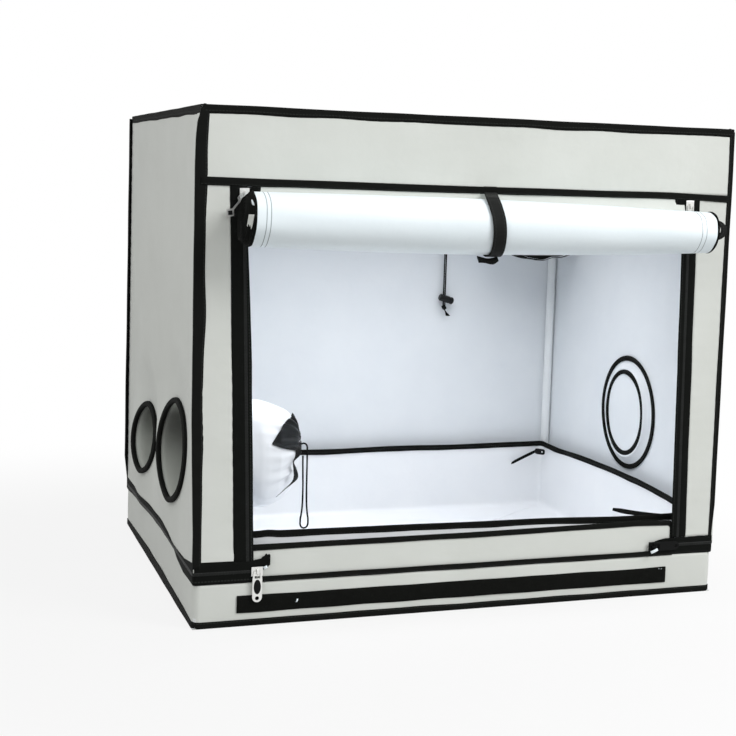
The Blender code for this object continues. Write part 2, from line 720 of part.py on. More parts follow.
def zips():
    seam_y = FRONT_Y - COIL_PROUD
    for side, label, lean in ((-1, "left", LEFT_PULL_LEAN), (1, "right", 0.0)):
        door_zip(f"door_zip_{label}", side)
        centre = (coil_x(side, DOOR_SLIDER_Z), seam_y, DOOR_SLIDER_Z)
        tilt = math.atan(coil_lean(side))
        slider(f"door_slider_{label}", centre, math.pi / 2 + tilt, tilt)
        door_pull(f"door_pull_{label}", centre, lean)
    # The left base pull hangs down; the right one lies back along its own zip
    for side, label, stub_end, x, lean in (
        (-1, "left", STUB_LEFT_END, BASE_SLIDER_LEFT_X, 0.0),
        (1, "right", STUB_RIGHT_END, BASE_SLIDER_RIGHT_X, -math.pi / 2),
    ):
        base_zip(f"base_zip_{label}", side, stub_end)
        centre = (x, seam_y, BASE_SLIDER_Z)
        slider(f"base_slider_{label}", centre, 0.0, lean)
        base_pull(f"base_pull_{label}", centre, lean)


def along_roll(left, middle, right, share):
    """A value that runs smoothly through its left, middle and right ends of the roll."""
    at_left = left * (1 - share) * (1 - 2 * share)
    at_right = right * share * (2 * share - 1)
    return at_left + 4 * middle * share * (1 - share) + at_right


def roll_axis(share):
    """The roll's radius and the place of its axis, at a share of its length from the left."""
    radius = along_roll(ROLL_R_LEFT, ROLL_R_MID, ROLL_R_RIGHT, share)
    return radius, ROLL_BACK_Y - radius, along_roll(ROLL_Z_LEFT, ROLL_Z_MID, ROLL_Z_RIGHT, share)


# Rolled-up door: one cloth wound forwards and up, so that its white lining shows
def door_roll():
    axis = empty("door_unroll", (0, ROLL_BACK_Y - ROLL_R_MID, ROLL_Z_MID))
    steps = round(ROLL_TURNS * ROLL_STEPS_A_TURN)
    angle = np.linspace(0, 2 * math.pi * ROLL_TURNS, steps + 1)
    angles = np.concatenate([angle, angle[::-1]])
    sections = []
    for share in np.linspace(0, 1, ROLL_STATIONS):
        radius, y, z = roll_axis(share)
        outer = radius - ROLL_PITCH * angle / (2 * math.pi)
        radii = np.concatenate([outer, outer[::-1] - ROLL_CLOTH])
        x = np.full(len(radii), ROLL_LEFT + (ROLL_RIGHT - ROLL_LEFT) * share)
        sections.append(np.stack([x, y + radii * np.cos(angles), z - radii * np.sin(angles)], axis=1))
    sections = np.array(sections)
    print(f"door_roll: least gap between turns {least_turn_gap(sections) * 1000:.2f} mm")
    return child_of(axis, place("door_roll", strip_mesh("door_roll", sections), LINING, 40))


def least_turn_gap(sections):
    """The smallest distance between the outer face of a turn and the inner face of the turn round it."""
    count = sections.shape[1] // 2
    least = math.inf
    for ring in sections:
        outer, inner = ring[:count], ring[count:][::-1]
        for start in range(count - ROLL_STEPS_A_TURN // 2):
            later = outer[start + ROLL_STEPS_A_TURN // 2 :]
            least = min(least, np.linalg.norm(later - inner[start], axis=1).min())
    return least


def strip_mesh(name, sections):
    """Skins the sections of a bent strip; each lists one face of the strip, then the other face back."""
    shape = bmesh.new()
    rows, columns = sections.shape[:2]
    verts = [[shape.verts.new(point) for point in ring] for ring in sections]
    for i in range(rows - 1):
        for j in range(columns):
            m = (j + 1) % columns
            shape.faces.new((verts[i][j], verts[i + 1][j], verts[i + 1][m], verts[i][m]))
    for end in (verts[0], verts[-1]):
        for j in range(columns // 2 - 1):
            shape.faces.new((end[j], end[j + 1], end[columns - 2 - j], end[columns - 1 - j]))
    return mesh_of(name, shape)


# The stretch of door cloth that hangs from the valance seam to the back of the roll
def door_curtain():
    left = coil_x(-1, ROLL_Z_RIGHT) + DOOR_TAPE_IN + GAP
    right = coil_x(1, SEAM_HIGH) - DOOR_TAPE_IN - GAP
    stations = np.linspace(left, right, ROLL_STATIONS)
    fall = np.linspace(0, 1, 6)
    rows = []
    for x in stations:
        share = (x - ROLL_LEFT) / (ROLL_RIGHT - ROLL_LEFT)
        _, _, z_end = roll_axis(share)
        z_start = SEAM_LOW - 2 * GAP
        z = np.concatenate([[SEAM_MID - GAP], z_start + (z_end + GAP - z_start) * fall])
        lean = np.concatenate([[0.0], 3 * fall**2 - 2 * fall**3]) * (ROLL_BACK_Y - FRONT_Y)
        front = FRONT_Y + lean
        back = front + CLOTH
        loop = [(x, a, b) for a, b in zip(front, z)] + [(x, a, b) for a, b in zip(back[::-1], z[::-1])]
        rows.append(loop)
    mesh = grid_mesh("door_curtain", np.array(rows), False, True)
    return place("door_curtain", mesh, COVER, 40)


# Webbing strap that holds the roll: down over its front, and up behind it on the inside of the door
def roll_strap():
    share = (STRAP_X - ROLL_LEFT) / (ROLL_RIGHT - ROLL_LEFT)
    radius, y, z = roll_axis(share)
    ring = radius + STRAP_CLEAR + STRAP_THICK / 2
    seam_front = FRONT_Y - 2 * GAP - TAPE - STRAP_THICK / 2
    behind = -INNER_Y + GAP + STRAP_THICK / 2
    sweep = np.linspace(STRAP_LEAVES_FRONT, STRAP_LEAVES_BACK, 20)
    arc = [(y + ring * math.cos(a), z + ring * math.sin(a)) for a in sweep]
    last_y, last_z = arc[-1]
    inward = behind - last_y
    turn_up = [
        (last_y + inward * t, last_z + inward * (1 - math.cos(t * math.pi / 2))) for t in STRAP_TURN_UP
    ]
    line = [(seam_front, SEAM_HIGH - STRAP_THICK), (seam_front, SEAM_LOW), *arc, *turn_up]
    line += [(behind, z), (behind, SEAM_LOW)]
    one, other = thick_profile(line, STRAP_THICK)
    low, high = STRAP_X - STRAP_WIDE / 2, STRAP_X + STRAP_WIDE / 2
    loop = np.concatenate([one, other[::-1]])
    sections = np.array([[(x, a, b) for a, b in loop] for x in (low, high)])
    return place("roll_strap", strip_mesh("roll_strap", sections), WEBBING, 40)


def grip_strip():
    front = FRONT_Y - GAP
    low = (GRIP_LEFT, front - GRIP_THICK, GRIP_LOW)
    return box("hook_loop_strip", low, (GRIP_RIGHT, front, GRIP_HIGH), WEBBING)


# Inner tray: a waterproof sheet with upright sides, and black tape bound over its rim
def tray():
    floor, top = CLOTH + GAP, TRAY_HIGH - RIM_THICK - GAP
    body = box("tray", (-TRAY_X, -TRAY_Y, floor), (TRAY_X, TRAY_Y, top), TRAY_CLOTH)
    in_x, in_y = TRAY_X - TRAY_WALL, TRAY_Y - TRAY_WALL
    hollow = box_mesh("tray_hollow", (-in_x, -in_y, floor + TRAY_WALL), (in_x, in_y, 2 * TRAY_HIGH))
    return boolean(body, "DIFFERENCE", cutter("tray_hollow", hollow))


def tray_rim():
    """The folded tape, and the tie that is sewn to it in each corner and hangs along the long wall."""
    out, wall = RIM_THICK + GAP, TRAY_WALL + GAP
    inner = wall + RIM_THICK
    top, low, under = TRAY_HIGH, TRAY_HIGH - RIM_HIGH, TRAY_HIGH - RIM_THICK
    section = [
        (out, low), (out, top), (-inner, top), (-inner, low),
        (-wall, low), (-wall, under), (GAP, under), (GAP, low),
    ]
    rows = [
        [(sx * (TRAY_X + reach), sy * (TRAY_Y + reach), z) for reach, z in section]
        for sx, sy in ((-1, -1), (1, -1), (1, 1), (-1, 1))
    ]
    rim = place("tray_rim", grid_mesh("tray_rim", np.array(rows), True, True), BINDING)
    for sx, sy in ((-1, -1), (1, -1), (1, 1), (-1, 1)):
        name = f"tie_{'left' if sx < 0 else 'right'}_{'front' if sy < 0 else 'back'}"
        tie = box_mesh(
            name, (-TIE_LONG, -TIE_THICK / 2, -TIE_WIDE / 2), (0.0, TIE_THICK / 2, TIE_WIDE / 2)
        )
        x = sx * (TRAY_X - inner - TIE_WIDE)
        y = sy * (TRAY_Y - inner - TIE_THICK / 2 + RIM_THICK / 3)
        z = TRAY_HIGH - RIM_HIGH + TIE_WIDE / 3
        mirror = Matrix.Rotation(math.pi, 4, "Z") if sx < 0 else Matrix.Identity(4)
        lay = Matrix.Translation((x, y, z)) @ mirror @ Matrix.Rotation(-TIE_FALL, 4, "Y")
        boolean(rim, "UNION", cutter(name, tie, lay))
    return rim


def thick_profile(middle, thickness):
    """The closed loop that stands half the thickness off each side of a profile's middle line."""
    middle = np.array(middle, float)
    step = np.gradient(middle, axis=0)
    step /= np.linalg.norm(step, axis=1)[:, None]
    normal = np.stack([-step[:, 1], step[:, 0]], axis=1) * thickness / 2
    return middle + normal, middle - normal


def sleeve(name, line, turned, drift, pleat_from, pleat_deep, lean=0.0):
    """A cloth sleeve turned about its axis; line has the depth from the wall and radius of each station.

    turned carries (depth, radius, round angle, side, up) to a place, and drift gives the axis's side and
    up at a share of the depth. lean tips the ring, so that its far side stands out. The inner end has
    pleats, which begin at the share pleat_from.
    """
    one, other = thick_profile(line, SLEEVE_CLOTH)
    total = line[-1][0]
    ring_r = line[0][1]
    rows = []
    for angle in np.linspace(0, 2 * math.pi, SLEEVE_SIDES, endpoint=False):
        row = []
        for depth, radius in np.concatenate([one, other[::-1]]):
            share = depth / total
            gathered = min(max((share - pleat_from) / (1 - pleat_from), 0.0), 1.0)
            ripple = pleat_deep * gathered * math.cos(PLEATS * angle)
            tip = max(0.0, 1.0 - max(depth, 0.0) / (4 * SLEEVE_CLOTH))
            out = tip * math.tan(lean) * (radius * math.sin(angle) + ring_r)
            row.append(turned(depth - out, radius + ripple, angle, *drift(share)))
        rows.append(row)
    return place(name, grid_mesh(name, np.array(rows), True, True), LINING, 50)


def sleeve_start(ring_r, tube_r):
    """The sewn ring, flat on the outside of the wall, and the tube's first stretch through the hole."""
    outside = -SLEEVE_CLOTH / 2 - GAP
    return [(outside, ring_r), (outside, tube_r + SLEEVE_FLARE), (4 * SLEEVE_CLOTH, tube_r)]


def side_sleeve(name, centre, ring_r, reach, lean, swell, neck_r, lip_r, pleat, forward, rise):
    """A duct sleeve through the left wall, pushed inwards, whose end a drawcord has gathered to a neck."""
    tube_r = ring_r - RING_WIDE
    centre_y, centre_z = centre
    line = sleeve_start(ring_r, tube_r) + [
        (0.16 * reach, tube_r + SLEEVE_FLARE), (0.43 * reach, ring_r), (0.62 * reach, ring_r + swell),
        (0.78 * reach, ring_r - swell), (0.87 * reach, 0.72 * ring_r), (0.915 * reach, 0.42 * ring_r),
        (0.93 * reach, neck_r), (0.95 * reach, neck_r), (reach, lip_r),
    ]

    def drift(share):
        eased = max(share, 0.0) ** 4
        return -forward * eased, rise * eased

    def turned(depth, radius, angle, side, up):
        across, above = radius * math.sin(angle), radius * math.cos(angle)
        return (depth - SHELL_X, centre_y + side + across, centre_z + up + above)

    return sleeve(name, line, turned, drift, 0.90, pleat, lean)


def back_sleeve():
    """The exhaust sleeve high on the back wall, pushed in, leaning right and drooping."""
    tube_r = BACK_R - RING_WIDE
    line = sleeve_start(BACK_R, tube_r) + [
        (0.20 * BACK_REACH, tube_r + SLEEVE_FLARE), (0.55 * BACK_REACH, BACK_R - BACK_WAIST),
        (0.85 * BACK_REACH, BACK_R), (BACK_REACH, BACK_R - SLEEVE_FLARE),
    ]

    def drift(share):
        eased = max(share, 0.0) ** 1.5
        return BACK_DRIFT_X * eased, -BACK_DROP * eased

    def turned(depth, radius, angle, side, up):
        across, above = radius * math.sin(angle), radius * math.cos(angle)
        return (BACK_X + side + across, SHELL_Y - depth, BACK_Z + up + above)

    return sleeve("back_sleeve", line, turned, drift, 0.70, BACK_PLEAT)


def right_port():
    """The covered port on the right wall: a ring on the lining, a low cuff and a closed cover."""
    seat = CLOTH + GAP + SLEEVE_CLOTH / 2
    crest = seat + PORT_DEEP
    line = [
        (seat, PORT_R), (seat, PORT_R - RING_WIDE), (crest - SLEEVE_CLOTH, PORT_INNER_R + SLEEVE_FLARE),
        (crest, PORT_INNER_R - SLEEVE_FLARE), (crest, PORT_INNER_R / 2), (crest, 0.0),
    ]
    one, other = thick_profile(line, SLEEVE_CLOTH)
    one[-1, 1] = other[-1, 1] = 0.0
    turn = np.linspace(0, 2 * math.pi, SLEEVE_SIDES, endpoint=False)
    rows = [
        [(SHELL_X - depth, PORT_Y + radius * math.sin(a), PORT_Z + radius * math.cos(a)) for a in turn]
        for depth, radius in np.concatenate([one[::-1], other])
    ]
    return place("right_port", grid_mesh("right_port", np.array(rows), False, True), LINING, 50)


def vents(back, left, right):
    side_sleeve(
        "sleeve_left_large", (BIG_Y, BIG_Z), BIG_R, BIG_REACH, BIG_LEAN, BIG_SWELL,
        BIG_NECK_R, BIG_LIP_R, BIG_PLEAT, BIG_END_FORWARD, BIG_END_UP,
    )
    side_sleeve(
        "sleeve_left_small", (SMALL_Y, SMALL_Z), SMALL_R, SMALL_REACH, SMALL_LEAN, SMALL_SWELL,
        SMALL_NECK_R, SMALL_LIP_R, SMALL_PLEAT, 0.0, 0.0,
    )
    back_sleeve()
    right_port()
    round_tube = SLEEVE_FLARE + SLEEVE_CLOTH / 2 + HOLE_CLEAR - RING_WIDE
    hole(left, "large_vent_hole", BIG_R + round_tube, (-SHELL_X, BIG_Y, BIG_Z), (1, 0, 0))
    hole(left, "small_vent_hole", SMALL_R + round_tube, (-SHELL_X, SMALL_Y, SMALL_Z), (1, 0, 0))
    hole(back, "back_vent_hole", BACK_R + round_tube, (BACK_X, SHELL_Y, BACK_Z), (0, 1, 0))
    hole(right, "port_hole", PORT_R - RING_WIDE, (SHELL_X, PORT_Y, PORT_Z), (1, 0, 0))


# Drawcords: a hairpin below the large sleeve, and one with a barrel lock and a knot at the back
def drawcords():
    end_x, y = BIG_REACH - SHELL_X, BIG_Y - LOOP_FORWARD
    half_turn = np.linspace(math.pi, 0, 5)
    start, middle = -STRAND_GAP, 7 * CORD_R
    over = [(start + LOOP_TOP_R * (1 + math.cos(a)), LOOP_TOP_R * math.sin(a)) for a in half_turn]
    under = [
        (middle - LOOP_LOW_R * math.cos(a), -LOOP_DROP - LOOP_LOW_R * math.sin(a)) for a in half_turn
    ]
    bight = [
        (start, -0.0042), *over, (0.0112, -0.0045), (0.0113, -0.0130), (0.0115, -0.0300),
        (0.0116, -0.0600), (0.0122, -0.0850), (0.0136, -0.1000), (0.0149, -0.1075), (0.0151, -0.1120),
        *under, (0.0031, -0.1120), (0.0033, -0.1075), (0.0046, -0.1000), (0.0058, -0.0850),
        (0.0060, -0.0600), (0.0051, -0.0300), (0.0047, -0.0130),
    ]
    loop = [(end_x + out, y, BIG_Z + up) for out, up in bight]
    cord("drawcord_loop", loop, CORD_R, LOOP_POINTS, CORD)
    x, y = CORD_DROP_X, CORD_DROP_Y
    left, right = x - STRAND_X, x + STRAND_X
    low = LOCK_Z - LOCK_R - KNOT_BELOW_LOCK
    hitch = [
        (left, y, low), (left, y, LOCK_Z), (left, y, 0.4500), (left, y, 0.5000), (left - 0.0005, y, 0.5400),
        (x + 0.0005, y, 0.5610), (x + 0.0070, y, 0.5685), (x + 0.0150, y, 0.5665), (x + 0.0176, y, 0.5595),
        (x + 0.0130, y, 0.5520), (x + 0.0060, y, 0.5400), (right + 0.0003, y, 0.5150),
        (right, y, 0.5000), (right, y, 0.4500), (right, y, LOCK_Z), (right, y, low),
    ]
    cord("drawcord_back", hitch, CORD_R, CORD_POINTS, CORD)


# Barrel lock: a cup and a sprung button, both slotted across for the two strands, tipped on the cord
def cord_lock():
    axis = empty("cord_lock_slide", (CORD_DROP_X, CORD_DROP_Y, LOCK_Z))
    press = empty("cord_lock_press", axis.location)
    lay = Matrix.Rotation(LOCK_TILT, 4, "Y") @ turn_to((1, 0, 0))
    half, inner = LOCK_LONG / 2, LOCK_R - LOCK_WALL
    cup = [
        (0.0, -half), (LOCK_R - LOCK_ROUND, -half), (LOCK_R, LOCK_ROUND - half), (LOCK_R, half),
        (inner, half), (inner, LOCK_WALL - half), (0.0, LOCK_WALL - half),
    ]
    body = place("cord_lock_body", lathe_mesh("cord_lock_body", cup, lay), BLACK_PLASTIC, 40)
    body.parent = axis
    end = half + BUTTON_OUT
    start, under = end - BUTTON_LONG, half + BUTTON_TRAVEL + GAP
    plunger = [
        (0.0, start), (inner - GAP, start), (inner - GAP, under), (LOCK_R, under),
        (LOCK_R, end - LOCK_ROUND), (LOCK_R - LOCK_ROUND, end), (0.0, end),
    ]
    button = place("cord_lock_button", lathe_mesh("cord_lock_button", plunger, lay), BLACK_PLASTIC, 40)
    button.parent = press
    slot_x, slot_y, far = STRAND_X + CORD_R + GAP, CORD_R + GAP, 2 * LOCK_LONG
    body_slot = cutter("body_slot", box_mesh("body_slot", (-slot_x, -slot_y, -far), (slot_x, slot_y, far)))
    body_slot.parent = axis
    boolean(body, "DIFFERENCE", body_slot)
    long_x = slot_x + BUTTON_TRAVEL
    button_slot = cutter(
        "button_slot", box_mesh("button_slot", (-slot_x, -slot_y, -far), (long_x, slot_y, far))
    )
    button_slot.parent = press
    return boolean(button, "DIFFERENCE", button_slot)


def lathe_mesh(name, profile, matrix):
    """A turned shape: (radius, height) pairs spun about Z, from pole to pole, then laid in place."""
    turn = np.linspace(0, 2 * math.pi, 20, endpoint=False)
    rows = [[(r * math.cos(a), r * math.sin(a), z) for a in turn] for r, z in profile]
    mesh = grid_mesh(name, np.array(rows), False, True)
    mesh.transform(matrix)
    return mesh


def knot():
    """The knot that ties the two strands below the lock, with its short frayed tail."""
    top = LOCK_Z - LOCK_R - KNOT_BELOW_LOCK - GAP
    face_r = STRAND_X + CORD_R
    profile = [
        (0.0, 0.0), (face_r, 0.0), (KNOT_R, -0.3 * KNOT_HIGH), (KNOT_R, -0.7 * KNOT_HIGH),
        (CORD_R, -KNOT_HIGH), (CORD_R, -KNOT_HIGH - TAIL_LONG / 2), (TAIL_R, -KNOT_HIGH - TAIL_LONG),
        (0.0, -KNOT_HIGH - TAIL_LONG),
    ]
    spot = Matrix.Translation((CORD_DROP_X, CORD_DROP_Y, top))
    return place("drawcord_knot", lathe_mesh("drawcord_knot", profile, spot), CORD, 50)


frame()
corners()
hanging_bar("hanging_bar_front", -BAR_Y)
hanging_bar("hanging_bar_back", BAR_Y)
base_tub()
sill_flap()
roof_panel, back_panel, left_panel, right_panel = cover_panels()
edge_binding()
seam_tape()
zips()
door_roll()
door_curtain()
roll_strap()
grip_strip()
tray()
tray_rim()
vents(back_panel, left_panel, right_panel)
drawcords()
cord_lock()
knot()
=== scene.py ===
import math

import bmesh
import bpy
import numpy as np
from mathutils import Matrix, Vector


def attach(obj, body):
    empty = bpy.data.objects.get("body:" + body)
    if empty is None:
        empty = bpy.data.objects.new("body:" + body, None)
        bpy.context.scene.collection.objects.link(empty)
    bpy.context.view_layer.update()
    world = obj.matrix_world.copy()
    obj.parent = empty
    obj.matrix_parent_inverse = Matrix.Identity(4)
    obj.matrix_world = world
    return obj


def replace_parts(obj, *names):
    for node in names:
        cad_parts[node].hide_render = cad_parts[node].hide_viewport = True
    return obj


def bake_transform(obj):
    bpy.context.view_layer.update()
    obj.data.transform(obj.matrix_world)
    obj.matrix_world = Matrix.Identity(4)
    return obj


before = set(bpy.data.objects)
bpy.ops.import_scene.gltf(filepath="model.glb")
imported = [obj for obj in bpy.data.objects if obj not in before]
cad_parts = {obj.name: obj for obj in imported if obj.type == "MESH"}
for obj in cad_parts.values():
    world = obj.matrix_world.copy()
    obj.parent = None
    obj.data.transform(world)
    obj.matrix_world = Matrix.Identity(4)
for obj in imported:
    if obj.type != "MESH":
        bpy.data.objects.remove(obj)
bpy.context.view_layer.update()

# VIEW
# The photograph's own view: a long lens in front of the tent's left half, a little below its roof, tipped
# down and rolled a shade.
VIEW_PLACE = (-0.7617, -2.1375, 0.6188)
VIEW_TURN, VIEW_DIP, VIEW_ROLL = (math.radians(angle) for angle in (19.573, 5.71, 1.896))
lens = bpy.data.cameras.new("tent_view")
lens.lens, lens.sensor_width = 69.31, 36.0
lens.shift_x, lens.shift_y = -0.0523, -0.0698
camera = bpy.data.objects.new("tent_view", lens)
camera.matrix_world = (
    Matrix.Translation(VIEW_PLACE)
    @ Matrix.Rotation(-VIEW_TURN, 4, "Z")
    @ Matrix.Rotation(math.pi / 2 - VIEW_DIP, 4, "X")
    @ Matrix.Rotation(VIEW_ROLL, 4, "Z")
)
bpy.context.scene.collection.objects.link(camera)
bpy.context.scene.camera = camera
bpy.context.scene.view_settings.view_transform = "Standard"


# FLOOR AND LIGHT
# A plain white studio: a pale floor that keeps a soft shadow, a broad lamp from the upper right, a weaker one
# from the left, and a soft light panel under the tent's roof, where a grow lamp would hang.
def linear(code):
    """The linear colour of an sRGB hex code, with full alpha."""
    srgb = np.array([int(code[i : i + 2], 16) for i in (1, 3, 5)]) / 255
    return (*np.where(srgb <= 0.04045, srgb / 12.92, ((srgb + 0.055) / 1.055) ** 2.4).tolist(), 1.0)


def add(tree, kind, settings, inputs):
    """Adds one node with its settings. An input takes a value, or a link where it is given a socket."""
    made = tree.nodes.new("ShaderNode" + kind)
    for name, value in settings.items():
        setattr(made, name, value)
    for name, value in inputs.items():
        if isinstance(value, bpy.types.NodeSocket):
            tree.links.new(value, made.inputs[name])
        else:
            made.inputs[name].default_value = value
    return made


def finish_of(name, sockets):
    """A new material whose Principled shader takes plain values; gives the material, its tree and the
    shader."""
    made = bpy.data.materials.new(name)
    made.use_nodes = True
    shader = made.node_tree.nodes["Principled BSDF"]
    for socket, value in sockets.items():
        shader.inputs[socket].default_value = value
    return made, made.node_tree, shader


def compute(tree, operation, *values):
    """The result of one Math node; its inputs are values or sockets."""
    return add(tree, "Math", {"operation": operation}, dict(enumerate(values))).outputs[0]


def straight(tree):
    """One for a ray that comes straight from the camera, off something glossy or through something clear, and
    nought for any other."""
    ray = add(tree, "LightPath", {}, {}).outputs
    mirrored = compute(tree, "MAXIMUM", ray["Is Camera Ray"], ray["Is Glossy Ray"])
    return compute(tree, "MAXIMUM", mirrored, ray["Is Transmission Ray"])


FLOOR_HALF, FLOOR_Z = 9.0, -0.0004
WHITE = (1.0, 1.0, 1.0, 1.0)
# The shadow's middle, how far round it the shadow is kept, where all is white, and the shadow's least white
SHADE_PLACE, SHADE_NEAR, SHADE_FAR, SHADE_WHITE = (-0.35, -0.10, 0.0), 0.45, 1.2, 0.86
SKY_LIGHT = 0.52
floor_mesh = bpy.data.meshes.new("studio_floor")
floor_corners = [(x * FLOOR_HALF, y * FLOOR_HALF, FLOOR_Z) for x, y in ((-1, -1), (1, -1), (1, 1), (-1, 1))]
floor_mesh.from_pydata(floor_corners, [], [(0, 1, 2, 3)])
studio_floor = bpy.data.objects.new("studio_floor", floor_mesh)
bpy.context.scene.collection.objects.link(studio_floor)

# White paper floor: matt beside the tent, so that it keeps the shadow, and evenly white further off.
paper, tree, shader = finish_of("white_studio_paper", {"Base Color": linear("#B8B8B7"), "Roughness": 0.9})
spot = add(tree, "TexCoord", {}, {})
offset = add(tree, "VectorMath", {"operation": "DISTANCE"}, {0: spot.outputs["Object"], 1: SHADE_PLACE})
whiter = add(
    tree, "MapRange", {"interpolation_type": "SMOOTHSTEP"},
    {
        "Value": offset.outputs["Value"], "From Min": SHADE_NEAR, "From Max": SHADE_FAR,
        "To Min": SHADE_WHITE, "To Max": 1.0,
    },
)
share = compute(tree, "MULTIPLY", straight(tree), whiter.outputs[0])
glow = add(tree, "Emission", {}, {"Color": WHITE, "Strength": 1.0})
both = add(tree, "MixShader", {}, {0: share, 1: shader.outputs[0], 2: glow.outputs[0]})
tree.links.new(both.outputs[0], tree.nodes["Material Output"].inputs["Surface"])
floor_mesh.materials.append(paper)

sky = bpy.data.worlds.new("studio_sky")
sky.use_nodes = True
bpy.context.scene.world = sky
level = compute(sky.node_tree, "MULTIPLY_ADD", straight(sky.node_tree), 1 - SKY_LIGHT, SKY_LIGHT)
background = sky.node_tree.nodes["Background"]
background.inputs["Color"].default_value = WHITE
sky.node_tree.links.new(level, background.inputs["Strength"])


def lamp(name, place, target, width, height, watts, colour, cone=180):
    """A soft rectangular light that faces a target, shines within a cone, and isn't seen by the camera."""
    light = bpy.data.lights.new(name, "AREA")
    light.shape, light.size, light.size_y = "RECTANGLE", width, height
    light.energy, light.color, light.spread = watts, linear(colour)[:3], math.radians(cone)
    made = bpy.data.objects.new(name, light)
    facing = (Vector(target) - Vector(place)).to_track_quat("-Z", "Y").to_matrix().to_4x4()
    made.matrix_world = Matrix.Translation(place) @ facing
    made.visible_camera = False
    bpy.context.scene.collection.objects.link(made)


lamp("key_light", (1.7, -2.0, 2.5), (0.0, 0.0, 0.35), 1.5, 1.5, 70.0, "#FFFFFF")
lamp("left_light", (-2.0, -1.3, 2.4), (0.0, 0.0, 0.45), 1.8, 1.8, 21.0, "#FFFFFF")
lamp("grow_light", (0.0, -0.02, 0.655), (0.0, -0.02, 0.0), 0.56, 0.34, 2.00, "#FDFDFF", 120)


# FRAME
# Twelve thin-walled steel tubes with a white powder coat, joined by moulded three-way corners, and two
# hanging bars that clip over the side rails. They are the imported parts, in their own finishes.
def noise(tree, grain, detail):
    """A noise in the object's own places whose hills lie about a grain apart, in metres."""
    spot = add(tree, "TexCoord", {}, {})
    hills = add(
        tree, "TexNoise", {}, {"Vector": spot.outputs["Object"], "Scale": 1 / grain, "Detail": detail}
    )
    return hills.outputs["Fac"]


def mixed(tree, share, first, second):
    """A colour between two, each a hex code or a socket."""
    first, second = (linear(colour) if isinstance(colour, str) else colour for colour in (first, second))
    return add(tree, "Mix", {"data_type": "RGBA"}, {0: share, 6: first, 7: second}).outputs[2]


def dress(tree, shader, colour, height, strength, distance, under=None):
    """Gives a shader its colour and, at more than no strength, a relief, which may lie on a coarser one."""
    tree.links.new(colour, shader.inputs["Base Color"])
    if strength:
        relief = add(tree, "Bump", {}, {"Strength": strength, "Distance": distance, "Height": height})
        tree.links.new(relief.outputs["Normal"], shader.inputs["Normal"])
        if under is not None:
            tree.links.new(under, relief.inputs["Normal"])


def grained(name, dark, light, grain, detail, strength, distance, sockets):
    """A plain finish whose tone and relief both follow one noise."""
    made, tree, shader = finish_of(name, sockets)
    hills = noise(tree, grain, detail)
    dress(tree, shader, mixed(tree, hills, dark, light), hills, strength, distance)
    return made


# Powder coat: a fine orange peel, about 1.5 mm across, that breaks up the highlight along a tube.
powder_coat = grained(
    "white_powder_coated_steel", "#E6EAEC", "#F1F4F5", 0.0015, 2.0, 0.12, 0.0002,
    {"Roughness": 0.38, "IOR": 1.5},
)
# Moulded nylon: a dull sheen with the faint flow marks of the mould, several millimetres long.
nylon = grained(
    "white_moulded_nylon", "#DDE1E2", "#ECEFF0", 0.006, 3.0, 0.1, 0.0003, {"Roughness": 0.5, "IOR": 1.53}
)


def refinish(nodes, finish):
    """Gives carried-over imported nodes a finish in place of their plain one."""
    for name in nodes:
        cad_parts[name].data.materials.clear()
        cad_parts[name].data.materials.append(finish)


refinish([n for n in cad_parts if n.startswith(("post_", "rail_", "hanging_bar"))], powder_coat)
refinish([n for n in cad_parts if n.startswith("corner_")], nylon)


# COVER
# Oxford cloth, grey-white outside and coated white inside, cut flat and sewn edge to edge: a base tub with
# its skirt, roof, back and side panels, and on the front a valance and two narrow stiles beside the door.
OUT_X, OUT_Y, OUT_Z = 0.3988, 0.2988, 0.6988
CLOTH = 0.0012
TUB_FLOOR_Z, TUB_CORNER_R = 0.0003, 0.0100
SIDES = ((-1, "left"), (1, "right"))
SKIRT_LOW, SKIRT_TOP, SKIRT_RISE = 0.0006, 0.0615, 0.0157
PANEL_LOW, STILE_LOW = 0.0772, 0.0866
SEAM_Z = 0.6015
BIG_VENT, BIG_VENT_R = (-0.1280, 0.2130), 0.0765
SMALL_VENT, SMALL_VENT_R = (0.1220, 0.1850), 0.0585
PORT, PORT_R = (-0.0180, 0.2330), 0.0925
BACK_VENT, BACK_VENT_R = (0.2590, 0.5600), 0.0775
RING_WIDE = 0.0095
TENT_MIDDLE = (0.0, 0.0, 0.35)
# The scale at which a wave texture repeats once a metre
WAVE_SCALE = 0.314


def ribbed(tree, direction, pitch):
    """Waves across a piece's own lengths, one pitch apart in metres."""
    spot = add(tree, "TexCoord", {}, {})
    scale = WAVE_SCALE / pitch
    waves = add(
        tree, "TexWave", {"bands_direction": direction}, {"Vector": spot.outputs["UV"], "Scale": scale}
    )
    return waves.outputs["Fac"]


def cloth_finish(name, light, dark, thread, sockets):
    """Plain-woven coated cloth: crossed threads of one pitch raise it, and slow patches shift its tone."""
    made, tree, shader = finish_of(name, sockets)
    weave = compute(tree, "MULTIPLY", ribbed(tree, "X", thread), ribbed(tree, "Y", thread))
    tone = compute(tree, "MULTIPLY_ADD", weave, 0.25, noise(tree, 1 / 14, 4.0))
    crumple = add(tree, "Bump", {}, {"Strength": 0.14, "Distance": 0.004, "Height": noise(tree, 0.03, 3.0)})
    dress(tree, shader, mixed(tree, tone, dark, light), weave, 0.3, 0.0002, crumple.outputs[0])
    return made


# 600-denier Oxford with a dull coating: an even, matt grey-white with a faint grid. Threads are 0.5 mm apart,
# drawn at 1.2 mm so that they show.
oxford = cloth_finish(
    "grey_white_oxford_cloth", "#DADDD8", "#CFD2CC", 0.0012, {"Roughness": 0.72, "Sheen Weight": 0.12}
)
